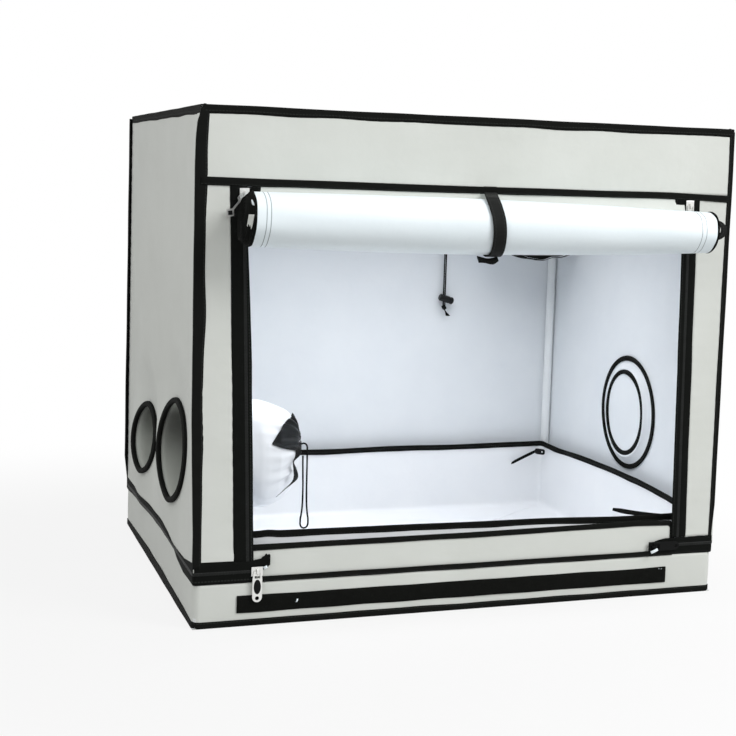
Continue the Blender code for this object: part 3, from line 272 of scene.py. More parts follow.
# The same cloth's inner face with its white reflective coating: smoother, cooler and a little glossy.
lining = cloth_finish(
    "white_coated_lining", "#E9EDF0", "#DFE4E9", 0.0012,
    {"Roughness": 0.5, "Coat Weight": 0.08, "Coat Roughness": 0.4},
)


def patch(points, closed=(False, False), lengths=None):
    """Quads through a grid of points, joined round in either direction.

    Each corner gets a UV place in metres: how far it lies down the rows and along the columns.
    """
    rows, columns = points.shape[:2]
    down, along = np.arange(rows + closed[0]), np.arange(columns + closed[1])
    grid = points[down % rows][:, along % columns]
    if lengths is None:
        run = [
            np.concatenate([[0.0], np.linalg.norm(np.diff(grid, axis=k), axis=2).mean(axis=1 - k).cumsum()])
            for k in (0, 1)
        ]
        lengths = np.stack(np.meshgrid(*run, indexing="ij"), axis=-1)
    index = (down % rows)[:, None] * columns + (along % columns)[None]
    quads, places = (
        np.stack([a[:-1, :-1], a[1:, :-1], a[1:, 1:], a[:-1, 1:]], axis=2) for a in (index, lengths)
    )
    return points.reshape(-1, 3), quads.reshape(-1, 4), places.reshape(-1, 4, 2)


def piece(name, patches, finishes, body="tent", behind=TENT_MIDDLE, bands=None):
    """One smooth mesh from some patches, merged where they meet, that rides on a body.

    Its faces turn their backs on the place behind; bands gives each quad's finish number.
    """
    starts = np.cumsum([0] + [len(p[0]) for p in patches[:-1]])
    points = np.concatenate([p[0] for p in patches])
    quads = np.concatenate([p[1] + start for p, start in zip(patches, starts)])
    places = np.concatenate([p[2] for p in patches])
    a, b, c, d = (points[quads[:, k]] for k in range(4))
    outward = (np.cross(c - a, d - b) * ((a + b + c + d) / 4 - np.array(behind))).sum()
    if outward < 0:
        quads, places = quads[:, ::-1], places[:, ::-1]
    mesh = bpy.data.meshes.new(name)
    mesh.from_pydata(points.tolist(), [], quads.tolist())
    mesh.uv_layers.new(name="length").data.foreach_set("uv", places.ravel())
    if bands is not None:
        mesh.polygons.foreach_set("material_index", np.asarray(bands, np.int32).ravel())
    mesh.shade_smooth()
    shape = bmesh.new()
    shape.from_mesh(mesh)
    bmesh.ops.remove_doubles(shape, verts=shape.verts, dist=2e-6)
    shape.to_mesh(mesh)
    shape.free()
    for finish in finishes:
        mesh.materials.append(finish)
    made = bpy.data.objects.new(name, mesh)
    bpy.context.scene.collection.objects.link(made)
    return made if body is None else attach(made, body)


def thicken(made, thickness, back=1):
    """Gives cloth or tape its thickness behind its face; the back takes the finish that comes so much
    later."""
    wall = made.modifiers.new("thickness", "SOLIDIFY")
    wall.thickness, wall.offset, wall.material_offset = thickness, -1.0, back
    return made


def swell(u, v, seed, length, count=7):
    """Slow hills over two directions: the mean of plane waves of about one length, whose turns a seed
    draws."""
    chance = np.random.default_rng(seed)
    turn, phase = chance.uniform(0, math.pi, count), chance.uniform(0, 2 * math.pi, count)
    wave = 2 * math.pi / (length * chance.uniform(0.6, 1.8, count))
    ahead = np.multiply.outer(u, np.cos(turn) * wave) + np.multiply.outer(v, np.sin(turn) * wave)
    return 1.7 * np.sin(ahead + phase).mean(axis=-1)


PUCKER_LONG, PUCKER_REACH = 0.018, 0.012


def slack(flat, size, deep, seed):
    """How far slack cloth stands off its flat cut: slow hills between its sewn edges, and puckers 18 mm long
    that the seams draw in, which die away within about 15 mm of them."""
    share, off = flat / size, np.minimum(flat, size - flat)
    inside = np.clip(16 * np.prod(share * (1 - share), axis=-1), 0, 1)
    hills = deep * inside * swell(flat[..., 0], flat[..., 1], seed, 0.28)
    wander = swell(flat[..., 0], flat[..., 1], seed + 1, 0.12)
    drawn = [
        np.exp(-off[..., k] / PUCKER_REACH)
        * (0.5 + 0.5 * np.sin(2 * math.pi * flat[..., 1 - k] / PUCKER_LONG + 3 * wander))
        for k in (0, 1)
    ]
    return hills + 0.0006 * (drawn[0] + drawn[1])


def cells(size, step, holes):
    """The flat grid of a panel in metres from its lower corner, with the window round each hole opened and
    filled by rings of points that run straight from the window's edge to the circle."""
    steps = [max(2, round(length / step)) for length in size]
    a, b = (np.linspace(0, length, count + 1) for length, count in zip(size, steps))
    flat = np.stack(np.meshgrid(a, b, indexing="ij"), axis=-1)
    kept = np.ones((steps[0], steps[1]), bool)
    rings = []
    for centre, radius in holes:
        low = [int((c - radius - 0.014) / size[k] * steps[k]) for k, c in enumerate(centre)]
        high = [int((c + radius + 0.014) / size[k] * steps[k]) + 1 for k, c in enumerate(centre)]
        (i0, j0), (i1, j1) = low, high
        kept[i0:i1, j0:j1] = False
        edge = np.concatenate([flat[i0:i1, j0], flat[i1, j0:j1], flat[i1:i0:-1, j1], flat[i0, j1:j0:-1]])
        away = edge - np.array(centre)
        circle = centre + radius * away / np.linalg.norm(away, axis=1)[:, None]
        rings.append(circle + (edge - circle) * np.linspace(0, 1, 7)[:, None, None])
    return flat, kept, rings


def stretched(made, flat, *nodes):
    """Hides the imported nodes that a cut of cloth stands in for, and gives the cut back."""
    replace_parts(made, *nodes)
    return made


def panel(name, nodes, corner, across, up, size, height, holes=(), step=0.006, cut=lambda flat: flat):
    """A cut of cloth between two directions from a corner, sewn up taut in place of some nodes; height gives
    how far each place stands out, and cut moves the places of a rectangle to the real cut's."""
    corner, across, up = (np.array(v, float) for v in (corner, across, up))
    out = np.cross(across, up)
    flat, kept, rings = cells(size, step, holes)

    def laid(places):
        shaped = cut(places)
        return corner + shaped[..., :1] * across + shaped[..., 1:] * up + height(places)[..., None] * out

    points, quads, uvs = patch(laid(flat), lengths=flat)
    patches = [(points, quads[kept.ravel()], uvs[kept.ravel()])]
    patches += [
        patch(laid(ring), (False, True), np.concatenate([ring, ring[:, :1]], axis=1)) for ring in rings
    ]
    made = piece(name, patches, (oxford, lining), behind=corner + up * size[1] / 2 - out)
    stretched(thicken(made, CLOTH), size.tolist(), *nodes)


# The side wall's vents are sewn on askew: each has its place and radius, how far it stands out at the back
# and in at the top, how much its two sides stand out, and how far it is pressed in as a whole.
VENT_OUT = (
    (BIG_VENT, BIG_VENT_R, 0.0060, 0.0050, 0.0024, 0.0029),
    (SMALL_VENT, SMALL_VENT_R, 0.0088, 0.0064, 0.0012, 0.0024),
)


def askew(y, z, vent):
    """How far a vent stands off the wall inside its ring, fading away over the next 80 mm."""
    (y0, z0), radius, back, top, sides, inward = vent
    b, t = (y - y0) / radius, (z - z0) / radius
    reach = np.maximum(np.hypot(b, t), 1e-9)
    edge = np.minimum(1.0, 1 / reach)
    fade = np.clip(1 - (reach - 1.12) * radius / 0.080, 0, 1)
    stand = back * b * edge - top * t * edge + sides * (b * edge) ** 2 - inward
    return stand * fade**2 * (3 - 2 * fade)


side_size = np.array([2 * OUT_Y, OUT_Z - CLOTH - PANEL_LOW])


def calm(y, z, centre, radius):
    """Nought over a vent and its ring, rising to one 35 mm further off, where the cloth is free to wander."""
    return np.clip((np.hypot(y - centre[0], z - centre[1]) - radius - 0.003) / 0.035, 0, 1)


def corner_bow(z):
    """How far the front left corner is pulled outwards between the base zip and the roof."""
    heights = (0.13, 0.20, 0.28, 0.45, 0.62, 0.66, 0.68, 0.689, 0.70)
    return np.interp(z, heights, (0, 0.0022, 0.0043, 0.0053, 0.0060, 0.0052, 0.0036, 0.0006, 0))


def left_height(places):
    """Slack cloth that also follows the two vents and the bowed front corner."""
    y, z = OUT_Y - places[..., 0], PANEL_LOW + places[..., 1]
    still = calm(y, z, BIG_VENT, BIG_VENT_R) * calm(y, z, SMALL_VENT, SMALL_VENT_R)
    pulled = corner_bow(z) * np.exp(-(y + OUT_Y) / 0.035)
    return slack(places, side_size, 0.0022, 3) * still + sum(askew(y, z, vent) for vent in VENT_OUT) + pulled


left_holes = [
    ((OUT_Y - y, z - PANEL_LOW), radius - RING_WIDE * 0.6)
    for (y, z), radius in ((BIG_VENT, BIG_VENT_R), (SMALL_VENT, SMALL_VENT_R))
]
panel(
    "cover_left_cloth", ["cover_left"], (-OUT_X, OUT_Y, PANEL_LOW), (0, -1, 0), (0, 0, 1), side_size,
    left_height, left_holes,
)
panel(
    "cover_right_cloth", ["cover_right"], (OUT_X, -OUT_Y, PANEL_LOW), (0, 1, 0), (0, 0, 1), side_size,
    lambda flat: slack(flat, side_size, 0.0020, 5) * calm(
        flat[..., 0] - OUT_Y, flat[..., 1] + PANEL_LOW, PORT, PORT_R
    ),
    [((PORT[0] + OUT_Y, PORT[1] - PANEL_LOW), PORT_R - RING_WIDE)],
)
back_size = np.array([2 * OUT_X, OUT_Z - CLOTH - SKIRT_TOP])
panel(
    "cover_back_cloth", ["cover_back"], (OUT_X, OUT_Y, SKIRT_TOP), (-1, 0, 0), (0, 0, 1), back_size,
    lambda places: slack(places, back_size, 0.0022, 8),
    [((OUT_X - BACK_VENT[0], BACK_VENT[1] - SKIRT_TOP), BACK_VENT_R - RING_WIDE * 0.6)],
)
roof_size = np.array([2 * OUT_X, 2 * OUT_Y])
panel(
    "cover_roof_cloth", ["cover_roof"], (-OUT_X, -OUT_Y, OUT_Z), (1, 0, 0), (0, 1, 0), roof_size,
    lambda places: slack(places, roof_size, 0.0012, 11),
)
valance_size = np.array([2 * OUT_X, OUT_Z - CLOTH - SEAM_Z])
panel(
    "front_valance_cloth", ["front_valance"], (-OUT_X, -OUT_Y, SEAM_Z), (1, 0, 0), (0, 0, 1), valance_size,
    lambda places: slack(places, valance_size, 0.0010, 14),
)


def coil_x(side, z):
    """Where the door's zip runs: both sides lean a little to the left on their way up."""
    return np.where(side < 0, -0.3255 - 0.0308 * (z - 0.1), 0.3375 - 0.0185 * (z - 0.1))


# The stiles reach from the corners to just under the zip tapes
TAPE_OUT = {-1: 0.0190, 1: 0.0140}
stile_size = np.array([0.0500, SEAM_Z - STILE_LOW])
for side, label in SIDES:
    def narrowed(flat):
        """The stile's outer edge is straight, and its inner edge follows the leaning zip."""
        inner = side * coil_x(side, flat[..., 1] + STILE_LOW) + TAPE_OUT[side] - 0.0020
        from_corner = flat[..., 0] if side < 0 else stile_size[0] - flat[..., 0]
        wide = from_corner / stile_size[0] * (OUT_X - inner)
        return np.stack([wide if side < 0 else 2 * OUT_X - wide, flat[..., 1]], axis=-1)

    panel(
        f"front_stile_{label}_cloth", [f"front_stile_{label}"], (-OUT_X, -OUT_Y, STILE_LOW), (1, 0, 0),
        (0, 0, 1), stile_size, lambda places: slack(places, stile_size, 0.0008, 17 + side), step=0.005,
        cut=narrowed,
    )


def round_box(half_x, half_y, radius, step):
    """Points about a step apart round a rectangle with rounded corners, and the way out of it at each."""
    turn = np.linspace(0, math.pi / 2, 9)
    points, outs = [], []
    for quarter, (sx, sy) in enumerate(((1, 1), (-1, 1), (-1, -1), (1, -1))):
        angle = turn + quarter * math.pi / 2
        out = np.stack([np.cos(angle), np.sin(angle)], axis=1)
        arc = np.array([sx * (half_x - radius), sy * (half_y - radius)]) + radius * out
        run = 2 * (half_y - radius if quarter % 2 else half_x - radius)
        share = np.linspace(0, 1, max(2, round(run / step)))[1:-1, None]
        points += [arc, arc[-1] + run * share * np.array([-out[-1, 1], out[-1, 0]])]
        outs += [out, np.repeat(out[-1:], len(share), axis=0)]
    return np.concatenate(points), np.concatenate(outs)


def round_the_box(loop, out, profile):
    """A profile of (outwards, height) pairs carried round a loop; pairs may differ along the loop."""
    level = loop + profile[..., :1] * out
    return np.concatenate([level, np.broadcast_to(profile[..., 1:], (*level.shape[:2], 1))], axis=-1)


def run_of(path, **end):
    """How far along a path each of its steps reaches; the path is closed or led in by an end's point."""
    return np.linalg.norm(np.diff(path, axis=0, **end), axis=1).cumsum()


# The base tub: the skirt runs round the foot in one piece, a little higher on the left side, and its floor is
# sewn in under it.
loop, loop_out = round_box(OUT_X, OUT_Y, TUB_CORNER_R, 0.006)
along = run_of(loop, append=loop[:1])
fall = np.linspace(1, 0, 13)[:, None]
stand = 0.0009 * np.sin(math.pi * fall) * (0.4 + swell(along[None] * 1.0, 0.06 * fall, 21, 0.16))
on_left = np.clip((-0.3885 - loop[:, 0]) / 0.006, 0, 1) * np.clip((OUT_Y - loop[:, 1]) / 0.010, 0, 1)
top = SKIRT_TOP + SKIRT_RISE * on_left
level = SKIRT_LOW + (top - SKIRT_LOW) * fall
bulge = sum(askew(loop[:, 1], level, vent) for vent in VENT_OUT) * (loop[:, 0] < -0.395)
skirt_profile = np.stack([stand + bulge, level], axis=-1)
skirt = piece(
    "base_skirt_cloth", [patch(round_the_box(loop[None], loop_out[None], skirt_profile), (False, True))],
    (oxford, lining), behind=(0.0, 0.0, 0.03),
)
stretched(thicken(skirt, CLOTH), (2.79, SKIRT_TOP), "base_tub")
panel(
    "base_floor_cloth", [], (-OUT_X, OUT_Y, TUB_FLOOR_Z), (1, 0, 0), (0, -1, 0), roof_size,
    lambda places: np.zeros(places.shape[:-1]), step=0.05,
)


# BINDING
# Black woven tape, 20 mm wide, folded over the cover's edges and sewn through near its own edges: round the
# roof, up the four corners, round the foot, along the valance seam and along the skirt's top edge.
STITCH_PITCH, STITCH_SHARE, THREAD = 0.0045, 0.68, 0.0010


def tape_finish(name, light, dark, rib, sew_at, sockets):
    """Woven tape: ribs across it, slow wear in its tone, and a row of stitches at each distance from its
    edge."""
    made, tree, shader = finish_of(name, sockets)
    spot = add(tree, "TexCoord", {}, {})
    place = add(tree, "SeparateXYZ", {}, {0: spot.outputs["UV"]}).outputs
    height = ribbed(tree, "Y", rib)
    colour = mixed(tree, compute(tree, "MULTIPLY_ADD", height, 0.35, noise(tree, 1 / 60, 5.0)), dark, light)
    pace = compute(tree, "FRACT", compute(tree, "DIVIDE", place["Y"], STITCH_PITCH))
    stitch = compute(tree, "LESS_THAN", pace, STITCH_SHARE)
    rows = None
    for distance in sew_at:
        row = compute(tree, "MULTIPLY", compute(tree, "COMPARE", place["X"], distance, THREAD / 2), stitch)
        rows = row if rows is None else compute(tree, "MAXIMUM", rows, row)
    if rows is not None:
        colour = mixed(tree, rows, colour, "#2A2C2A")
        height = compute(tree, "MULTIPLY_ADD", rows, 2.0, height)
    dress(tree, shader, colour, height, 0.45, 0.0003)
    return made


# Polypropylene binding tape: soft, dull black. Ribs are 0.6 mm apart, drawn at 1.4 mm.
binding = tape_finish(
    "black_binding_tape", "#141513", "#0A0B0A", 0.0014, (0.0022, 0.0165),
    {"Roughness": 0.8, "Specular IOR Level": 0.08},
)

TAPE = 0.0009
HALF_X, HALF_Y, HIGH = 0.4000, 0.3000, 0.7018
ROOF_LEG, WALL_LEG = 0.0090, 0.0120
CORNER_FOOT, CORNER_TOP = {-1: 0.0838, 1: 0.0640}, 0.6975
SEAM_TAPE_LOW, SEAM_TAPE_HIGH = 0.5960, 0.6070


def folded(first, second, fold=0.0016):
    """The profile of a tape folded over a right-angled edge, as (past the edge, below the edge) pairs: one
    leg of each length, a round fold between them, and cut ends that press into the cloth."""
    turn = np.linspace(0, math.pi / 2, 7)
    bend = np.stack([fold * np.sin(turn) - fold, fold * np.cos(turn) - fold], axis=1)
    one = np.stack([np.linspace(-first, -fold, 6)[:-1], [-0.0008, -0.0001, 0, 0, 0]], axis=1)
    other = np.stack([[0, 0, 0, -0.0001, -0.0008], np.linspace(-fold, -second, 6)[1:]], axis=1)
    return np.concatenate([one, bend, other])


def wobble(run, seed, size):
    """A hand-guided seam's wander along its run, in metres."""
    return size * swell(run, 0.0 * run, seed, 0.11)


# Round the roof
loop, loop_out = round_box(HALF_X, HALF_Y, 0.0045, 0.005)
run = run_of(loop, append=loop[:1])
profile = folded(ROOF_LEG, WALL_LEG)
legs = np.where(np.arange(len(profile)) < 5, 0, np.where(np.arange(len(profile)) > 11, 1, 2))
profile = np.repeat(profile[:, None], len(loop), axis=1)
profile[legs == 0, :, 0] += wobble(run, 31, 0.0006) * (-profile[legs == 0, :, 0] / ROOF_LEG)
profile[legs == 1, :, 1] += wobble(run, 32, 0.0006) * (-profile[legs == 1, :, 1] / ROOF_LEG)
profile[..., 1] += HIGH + wobble(run, 33, 0.00035)
roof_binding = piece(
    "roof_edge_binding", [patch(round_the_box(loop[None], loop_out[None], profile), (False, True))],
    (binding,),
)
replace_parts(thicken(roof_binding, TAPE, 0), "edge_binding")

# Round the foot: its fold lies under the skirt, on the floor
loop, loop_out = round_box(HALF_X, HALF_Y, 0.0110, 0.005)
run = run_of(loop, append=loop[:1])
foot = np.array([
    (-0.0008, 0.0100), (0.0, 0.0092), (0.0, 0.0060), (0.0, 0.0030), (0.0, 0.0014), (-0.0004, 0.0006),
    (-0.0012, 0.0003), (-0.0050, 0.0003),
])
foot = np.repeat(foot[:, None], len(loop), axis=1)
foot[:4, :, 1] += wobble(run, 36, 0.0006)
# On the left side the tape comes up higher, most of all half way back
higher = np.interp(loop[:, 1], (-0.298, -0.216, -0.094, 0.068, 0.277), (0, 0.0030, 0.0060, 0.0080, 0.0010))
foot[:3, :, 1] += higher * (loop[:, 0] < -0.398)
foot[:5, :, 0] += 0.0002 + wobble(run, 37, 0.0003)
foot_binding = piece(
    "foot_edge_binding", [patch(round_the_box(loop[None], loop_out[None], foot), (False, True))],
    (binding,),
)
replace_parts(thicken(foot_binding, TAPE, 0), "edge_binding")

# Up the corners, from the base zip to the roof; the left ones are drawn outwards
for number, (sx, sy, front) in enumerate(
    ((-1, -1, 0.0115), (1, -1, 0.0085), (1, 1, 0.0068), (-1, 1, 0.0068))
):
    rise = np.linspace(CORNER_FOOT[sy], CORNER_TOP, 125)
    bow = (
        corner_bow(rise), np.interp(rise, (0.089, 0.11, 0.135), (-0.0028, -0.0018, 0)), 0 * rise,
        np.interp(rise, (0.08, 0.12, 0.69), (0, 0.0048, 0.0040)),
    )[number]
    profile = np.repeat(folded(front, 0.0068)[:, None], len(rise), axis=1)
    profile[:5, :, 0] *= 1 + 0.8 * bow / front
    profile[:5, :, 0] += wobble(rise, 41 + number, 0.0006) * (-profile[:5, :, 0] / 0.007)
    profile[12:, :, 1] += wobble(rise, 51 + number, 0.0006) * (-profile[12:, :, 1] / 0.007)
    shift = wobble(rise, 61 + number, 0.0003)
    points = np.stack([
        sx * (HALF_X + profile[..., 0] + shift + bow), sy * (HALF_Y + profile[..., 1] + shift),
        np.broadcast_to(rise, profile.shape[:2]),
    ], axis=-1)
    corner = piece(f"corner_edge_binding_{number + 1}", [patch(points)], (binding,))
    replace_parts(thicken(corner, TAPE, 0), "edge_binding")


def flat_tape(name, run, low, high, place, finish, seed, proud=TAPE, body="tent", behind=TENT_MIDDLE):
    """A tape laid flat between a low and a high edge along its run; place turns (run, height, out) to
    points."""
    share = np.array([0.0, 0.04, 0.2, 0.4, 0.6, 0.8, 0.96, 1.0])[:, None]
    out = proud * np.array([0.25, 0.9, 1.0, 1.02, 1.02, 1.0, 0.9, 0.25])[:, None]
    edge_low = low + wobble(run, seed, 0.0004)
    edge_high = high + wobble(run, seed + 1, 0.0004)
    height = edge_low + (edge_high - edge_low) * share
    out = out + 0.0003 + np.maximum(0, wobble(run, seed + 2, 0.0003))
    points = place(np.broadcast_to(run, height.shape), height, out)
    made = piece(name, [patch(points)], (finish,), body, behind)
    return thicken(made, proud * 0.9, 0)


def on_front(x, z, out):
    """Places on the tent's front face."""
    return np.stack([x, -OUT_Y - out, z], axis=-1)


seam_run = np.linspace(-0.3985, 0.3935, 160)
seam_low = SEAM_TAPE_LOW + np.interp(seam_run, (-0.4, 0.0, 0.3, 0.4), (0.0012, 0.0, 0.0, -0.0030))
seam_high = SEAM_TAPE_HIGH + np.interp(seam_run, (-0.4, 0.0, 0.3, 0.4), (0.0012, -0.0012, -0.0014, -0.0035))
seam_tape = flat_tape(
    "valance_seam_binding", seam_run, seam_low, seam_high, on_front, binding, 71, 0.0015
)
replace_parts(seam_tape, "valance_seam_tape")
skirt_run = np.linspace(-0.3060, 0.3300, 128)
flat_tape("skirt_edge_binding", skirt_run, 0.0605, 0.0685, on_front, binding, 74)


# SILL FLAP
# A flap of cover cloth that stands up behind the skirt as the door's sill. Its top corners are rounded, and
# binding tape is folded over its free edge.
FLAP_LEFT, FLAP_RIGHT, FLAP_LOW, FLAP_HIGH = -0.3260, 0.3335, 0.0200, 0.1120
ROUND_LEFT, ROUND_RIGHT = 0.0050, 0.0120
FLAP_Y = -0.2973
FOLDED_TAPE = 0.0004


def crest_rise(x):
    """How much higher the flap's free edge stands towards its right end."""
    return np.interp(x, (-0.33, 0.0, 0.19, 0.27, 0.33), (0, 0.0002, 0.0020, 0.0030, 0.0012))


to_right = np.sin(np.linspace(-math.pi / 2, math.pi / 2, 121))
x = (FLAP_LEFT + FLAP_RIGHT + (FLAP_RIGHT - FLAP_LEFT) * to_right) / 2
radius = np.where(x < 0, ROUND_LEFT, ROUND_RIGHT)
past = np.clip((np.where(x < 0, FLAP_LEFT - x, x - FLAP_RIGHT) + radius) / radius, 0, 1)
crest = FLAP_HIGH + crest_rise(x) - radius * (1 - np.sqrt(1 - past**2))
share = np.linspace(0, 1, 22)[:, None]
z = FLAP_LOW + (crest - 0.0008 - FLAP_LOW) * share
lean = 0.0013 * np.clip(share * 2 - 0.9, 0, 1) * (swell(x[None] + 0 * share, z, 81, 0.20) + 0.4)
points = np.stack([np.broadcast_to(x, z.shape), FLAP_Y + lean, z], axis=-1)
flap = piece("sill_flap_cloth", [patch(points)], (oxford, oxford), behind=(0.0, 0.1, 0.06))
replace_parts(thicken(flap, CLOTH), "sill_flap")


def heading(path):
    """The way ahead at each point of a path."""
    ahead = np.gradient(path, axis=0)
    return ahead / np.linalg.norm(ahead, axis=1)[:, None]


def flap_side(reach, radius):
    """The edge of one side of the flap, from its foot up and round the corner, as (outwards, up) pairs."""
    turn = np.linspace(0, math.pi / 2, 14)
    arc = np.stack(
        [reach - radius + radius * np.cos(turn), FLAP_HIGH - radius + radius * np.sin(turn)], axis=1
    )
    upright = np.stack([np.full(18, reach), np.linspace(0.0225, FLAP_HIGH - radius, 18)], axis=1)
    return np.concatenate([upright[:-1], arc])


crest_run = np.linspace(FLAP_RIGHT - ROUND_RIGHT, FLAP_LEFT + ROUND_LEFT, 110)
top = np.stack([crest_run, np.full(110, FLAP_HIGH)], axis=1)[1:-1]
edge = np.concatenate(
    [flap_side(FLAP_RIGHT, ROUND_RIGHT), top, flap_side(-FLAP_LEFT, ROUND_LEFT)[::-1] * (-1, 1)]
)
edge[:, 1] += crest_rise(edge[:, 0]) * np.clip((edge[:, 1] - 0.08) / 0.03, 0, 1)
ahead = heading(edge)
inward = np.stack([-ahead[:, 1], ahead[:, 0]], axis=1)
edge_run = run_of(edge, prepend=edge[:1])
# The U-shaped fold, as (in from the edge, towards the back) pairs
fold = np.array([
    (0.0080, 0.0004), (0.0076, -0.0007), (0.0040, -0.0009), (0.0010, -0.0009), (-0.0002, -0.0004),
    (-0.0004, 0.0006), (0.0000, 0.0016), (0.0010, 0.0021), (0.0040, 0.0021), (0.0074, 0.0019),
    (0.0078, 0.0008),
])[:, None]
deep = fold[..., 0] * (1 + np.where(fold[..., 0] > 0.003, 1, 0) * wobble(edge_run, 84, 0.05))
flat = edge + deep[..., None] * inward
shift = np.interp(flat[..., 1], (FLAP_LOW, 0.075, FLAP_HIGH), (0, 0, 0.0009))
shift *= swell(flat[..., 0], flat[..., 1], 81, 0.20) + 0.4
points = np.stack([flat[..., 0], FLAP_Y + fold[..., 1] + shift, flat[..., 1]], axis=-1)
flap_binding = piece(
    "sill_flap_binding", [patch(points)], (binding,), behind=(0.0, 0.4, 0.05)
)
thicken(flap_binding, FOLDED_TAPE, 0)


# TRAY
# A waterproof sheet inside the base, its sides folded up and held by ties at the corners, with black tape
# bound over the rim.
TRAY_X, TRAY_Y, TRAY_TOP = 0.3789, 0.2789, 0.1180
TRAY_CORNER_R, TRAY_FOLD_Z, TRAY_FOLD_R = 0.0080, 0.0110, 0.0085
TRAY_FRONT_RISE, TRAY_BACK_RISE = 0.0055, 0.0066
tray_sheet = cloth_finish(
    "white_coated_tray_sheet", "#F3F5F7", "#EAEDF1", 0.0014,
    {"Roughness": 0.38, "Coat Weight": 0.15, "Coat Roughness": 0.3},
)
loop, loop_out = round_box(TRAY_X, TRAY_Y, TRAY_CORNER_R, 0.006)
along = run_of(loop, append=loop[:1])
rise = np.linspace(TRAY_TOP - 0.0020, TRAY_FOLD_Z, 18)
bend = np.linspace(0, math.pi / 2, 6)[1:]
wall = np.concatenate([
    np.stack([0 * rise, rise], axis=1),
    np.stack([-TRAY_FOLD_R * (1 - np.cos(bend)), TRAY_FOLD_Z - TRAY_FOLD_R * np.sin(bend)], axis=1),
])[:, None] + 0.0 * along[None, :, None]
# The rim leans in a little between the corners; its front is drawn up at the left, its right side bows up
near_x = np.exp(-np.abs(np.abs(loop[:, 0]) - TRAY_X) / 0.05)
near_y = np.exp(-np.abs(np.abs(loop[:, 1]) - TRAY_Y) / 0.05)
between = 1 - near_x * near_y
rim_in = -0.0016 * between * (1 + swell(loop[:, 0], loop[:, 1], 91, 0.22))
rim_up = -0.0010 * between * (1 + swell(loop[:, 0], loop[:, 1], 92, 0.18))
rim_up += (TRAY_FRONT_RISE - 0.0115 * loop[:, 0]) * np.clip((TRAY_Y - loop[:, 1]) / (2 * TRAY_Y), 0, 1) ** 2
on_right = np.clip((loop[:, 0] - TRAY_X) / 0.01 + 1, 0, 1)
bowed = np.interp(
    loop[:, 1], (-0.2789, -0.20, -0.0975, 0.077, 0.20, 0.2789), (0, 0.0095, 0.0150, 0.0135, 0.0082, 0.0066)
)
rim_up += on_right * bowed + (1 - on_right) * TRAY_BACK_RISE * np.clip(loop[:, 1] / TRAY_Y, 0, 1)
high = np.clip((wall[..., 1] - 0.02) / 0.1, 0, 1)
wall[..., 0] += high**2 * rim_in
wall[..., 1] += high * rim_up
sides = round_the_box(loop[None], loop_out[None], wall)
share = np.linspace(1, 0, 22)[1:, None, None]
foot_level = np.broadcast_to(sides[-1][None, :, 2:], (21, len(loop), 1))
bottom = np.concatenate([sides[-1][None, :, :2] * share, foot_level], axis=-1)
bottom[..., 2] += 0.0012 * (1 - share[..., 0]) * np.maximum(
    0, swell(bottom[..., 0], bottom[..., 1], 95, 0.20)
)
tray = piece(
    "tray_sheet_cloth", [patch(np.concatenate([sides, bottom]), (False, True))], (tray_sheet, tray_sheet),
    behind=(0.0, 0.0, 0.30),
)
tray_wall = tray.modifiers.new("thickness", "SOLIDIFY")
tray_wall.thickness, tray_wall.offset = 0.0008, 0.0
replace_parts(tray, "tray")

over = np.array([
    (0.0009, -0.0094), (0.0013, -0.0088), (0.0013, -0.0040), (0.0013, -0.0008), (0.0008, 0.0000),
    (-0.0002, 0.0004), (-0.0012, 0.0000), (-0.0017, -0.0008), (-0.0017, -0.0040), (-0.0017, -0.0088),
    (-0.0013, -0.0094),
])[:, None]
rim = over + 0.0 * along[None, :, None]
rim[..., 0] += rim_in + wobble(along, 96, 0.0002)
rim[..., 1] += TRAY_TOP + rim_up + np.where(over[..., 1] < -0.003, 1, 0) * wobble(along, 97, 0.0005)
# Near the front left corner the rim has a kink, where it was creased in its box
kink = np.exp(-(((loop[:, 0] + 0.292) / 0.010) ** 2)) * (loop[:, 1] < -0.2)
rim[..., 1] += 0.0012 * kink
tray_rim = piece(
    "tray_rim_binding", [patch(round_the_box(loop[None], loop_out[None], rim), (False, True))], (binding,),
    behind=(0.0, 0.0, -5.0),
)
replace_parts(thicken(tray_rim, FOLDED_TAPE, 0), "tray_rim")


def ribbon(name, middle, across, thickness, finish, body="tent", behind=TENT_MIDDLE):
    """A flat ribbon: half its width to each side of a middle line, its edges turned a little back."""
    share = np.array([-1.0, -0.9, -0.45, 0.0, 0.45, 0.9, 1.0])[:, None, None]
    made = piece(name, [patch(middle + share * across)], (finish,), body, behind)
    return thicken(made, thickness, 0)


def through(points, count):
    """Evenly spaced points on the smooth curve (Catmull-Rom) that passes through each of some points."""
    route = np.asarray(points, float)
    padded = np.concatenate([2 * route[:1] - route[1:2], route, 2 * route[-1:] - route[-2:-1]])
    t = np.linspace(0, 1, 24, endpoint=False)[:, None]
    a, b, c, d = (padded[k : len(padded) - 3 + k][:, None] for k in range(4))
    square, cube = (2 * a - 5 * b + 4 * c - d) * t**2, (3 * b - a - 3 * c + d) * t**3
    fine = (0.5 * (2 * b + (c - a) * t + square + cube)).reshape(-1, route.shape[1])
    fine = np.concatenate([fine, route[-1:]])
    run = run_of(fine, prepend=fine[:1])
    even = np.linspace(0, run[-1], count)
    return np.stack([np.interp(even, run, column) for column in fine.T], axis=1)


def spread(values, count):
    """Values given at even steps, spread smoothly over a number of points, each a column for a ribbon."""
    return np.interp(np.linspace(0, 1, count), np.linspace(0, 1, len(values)), values)[:, None]


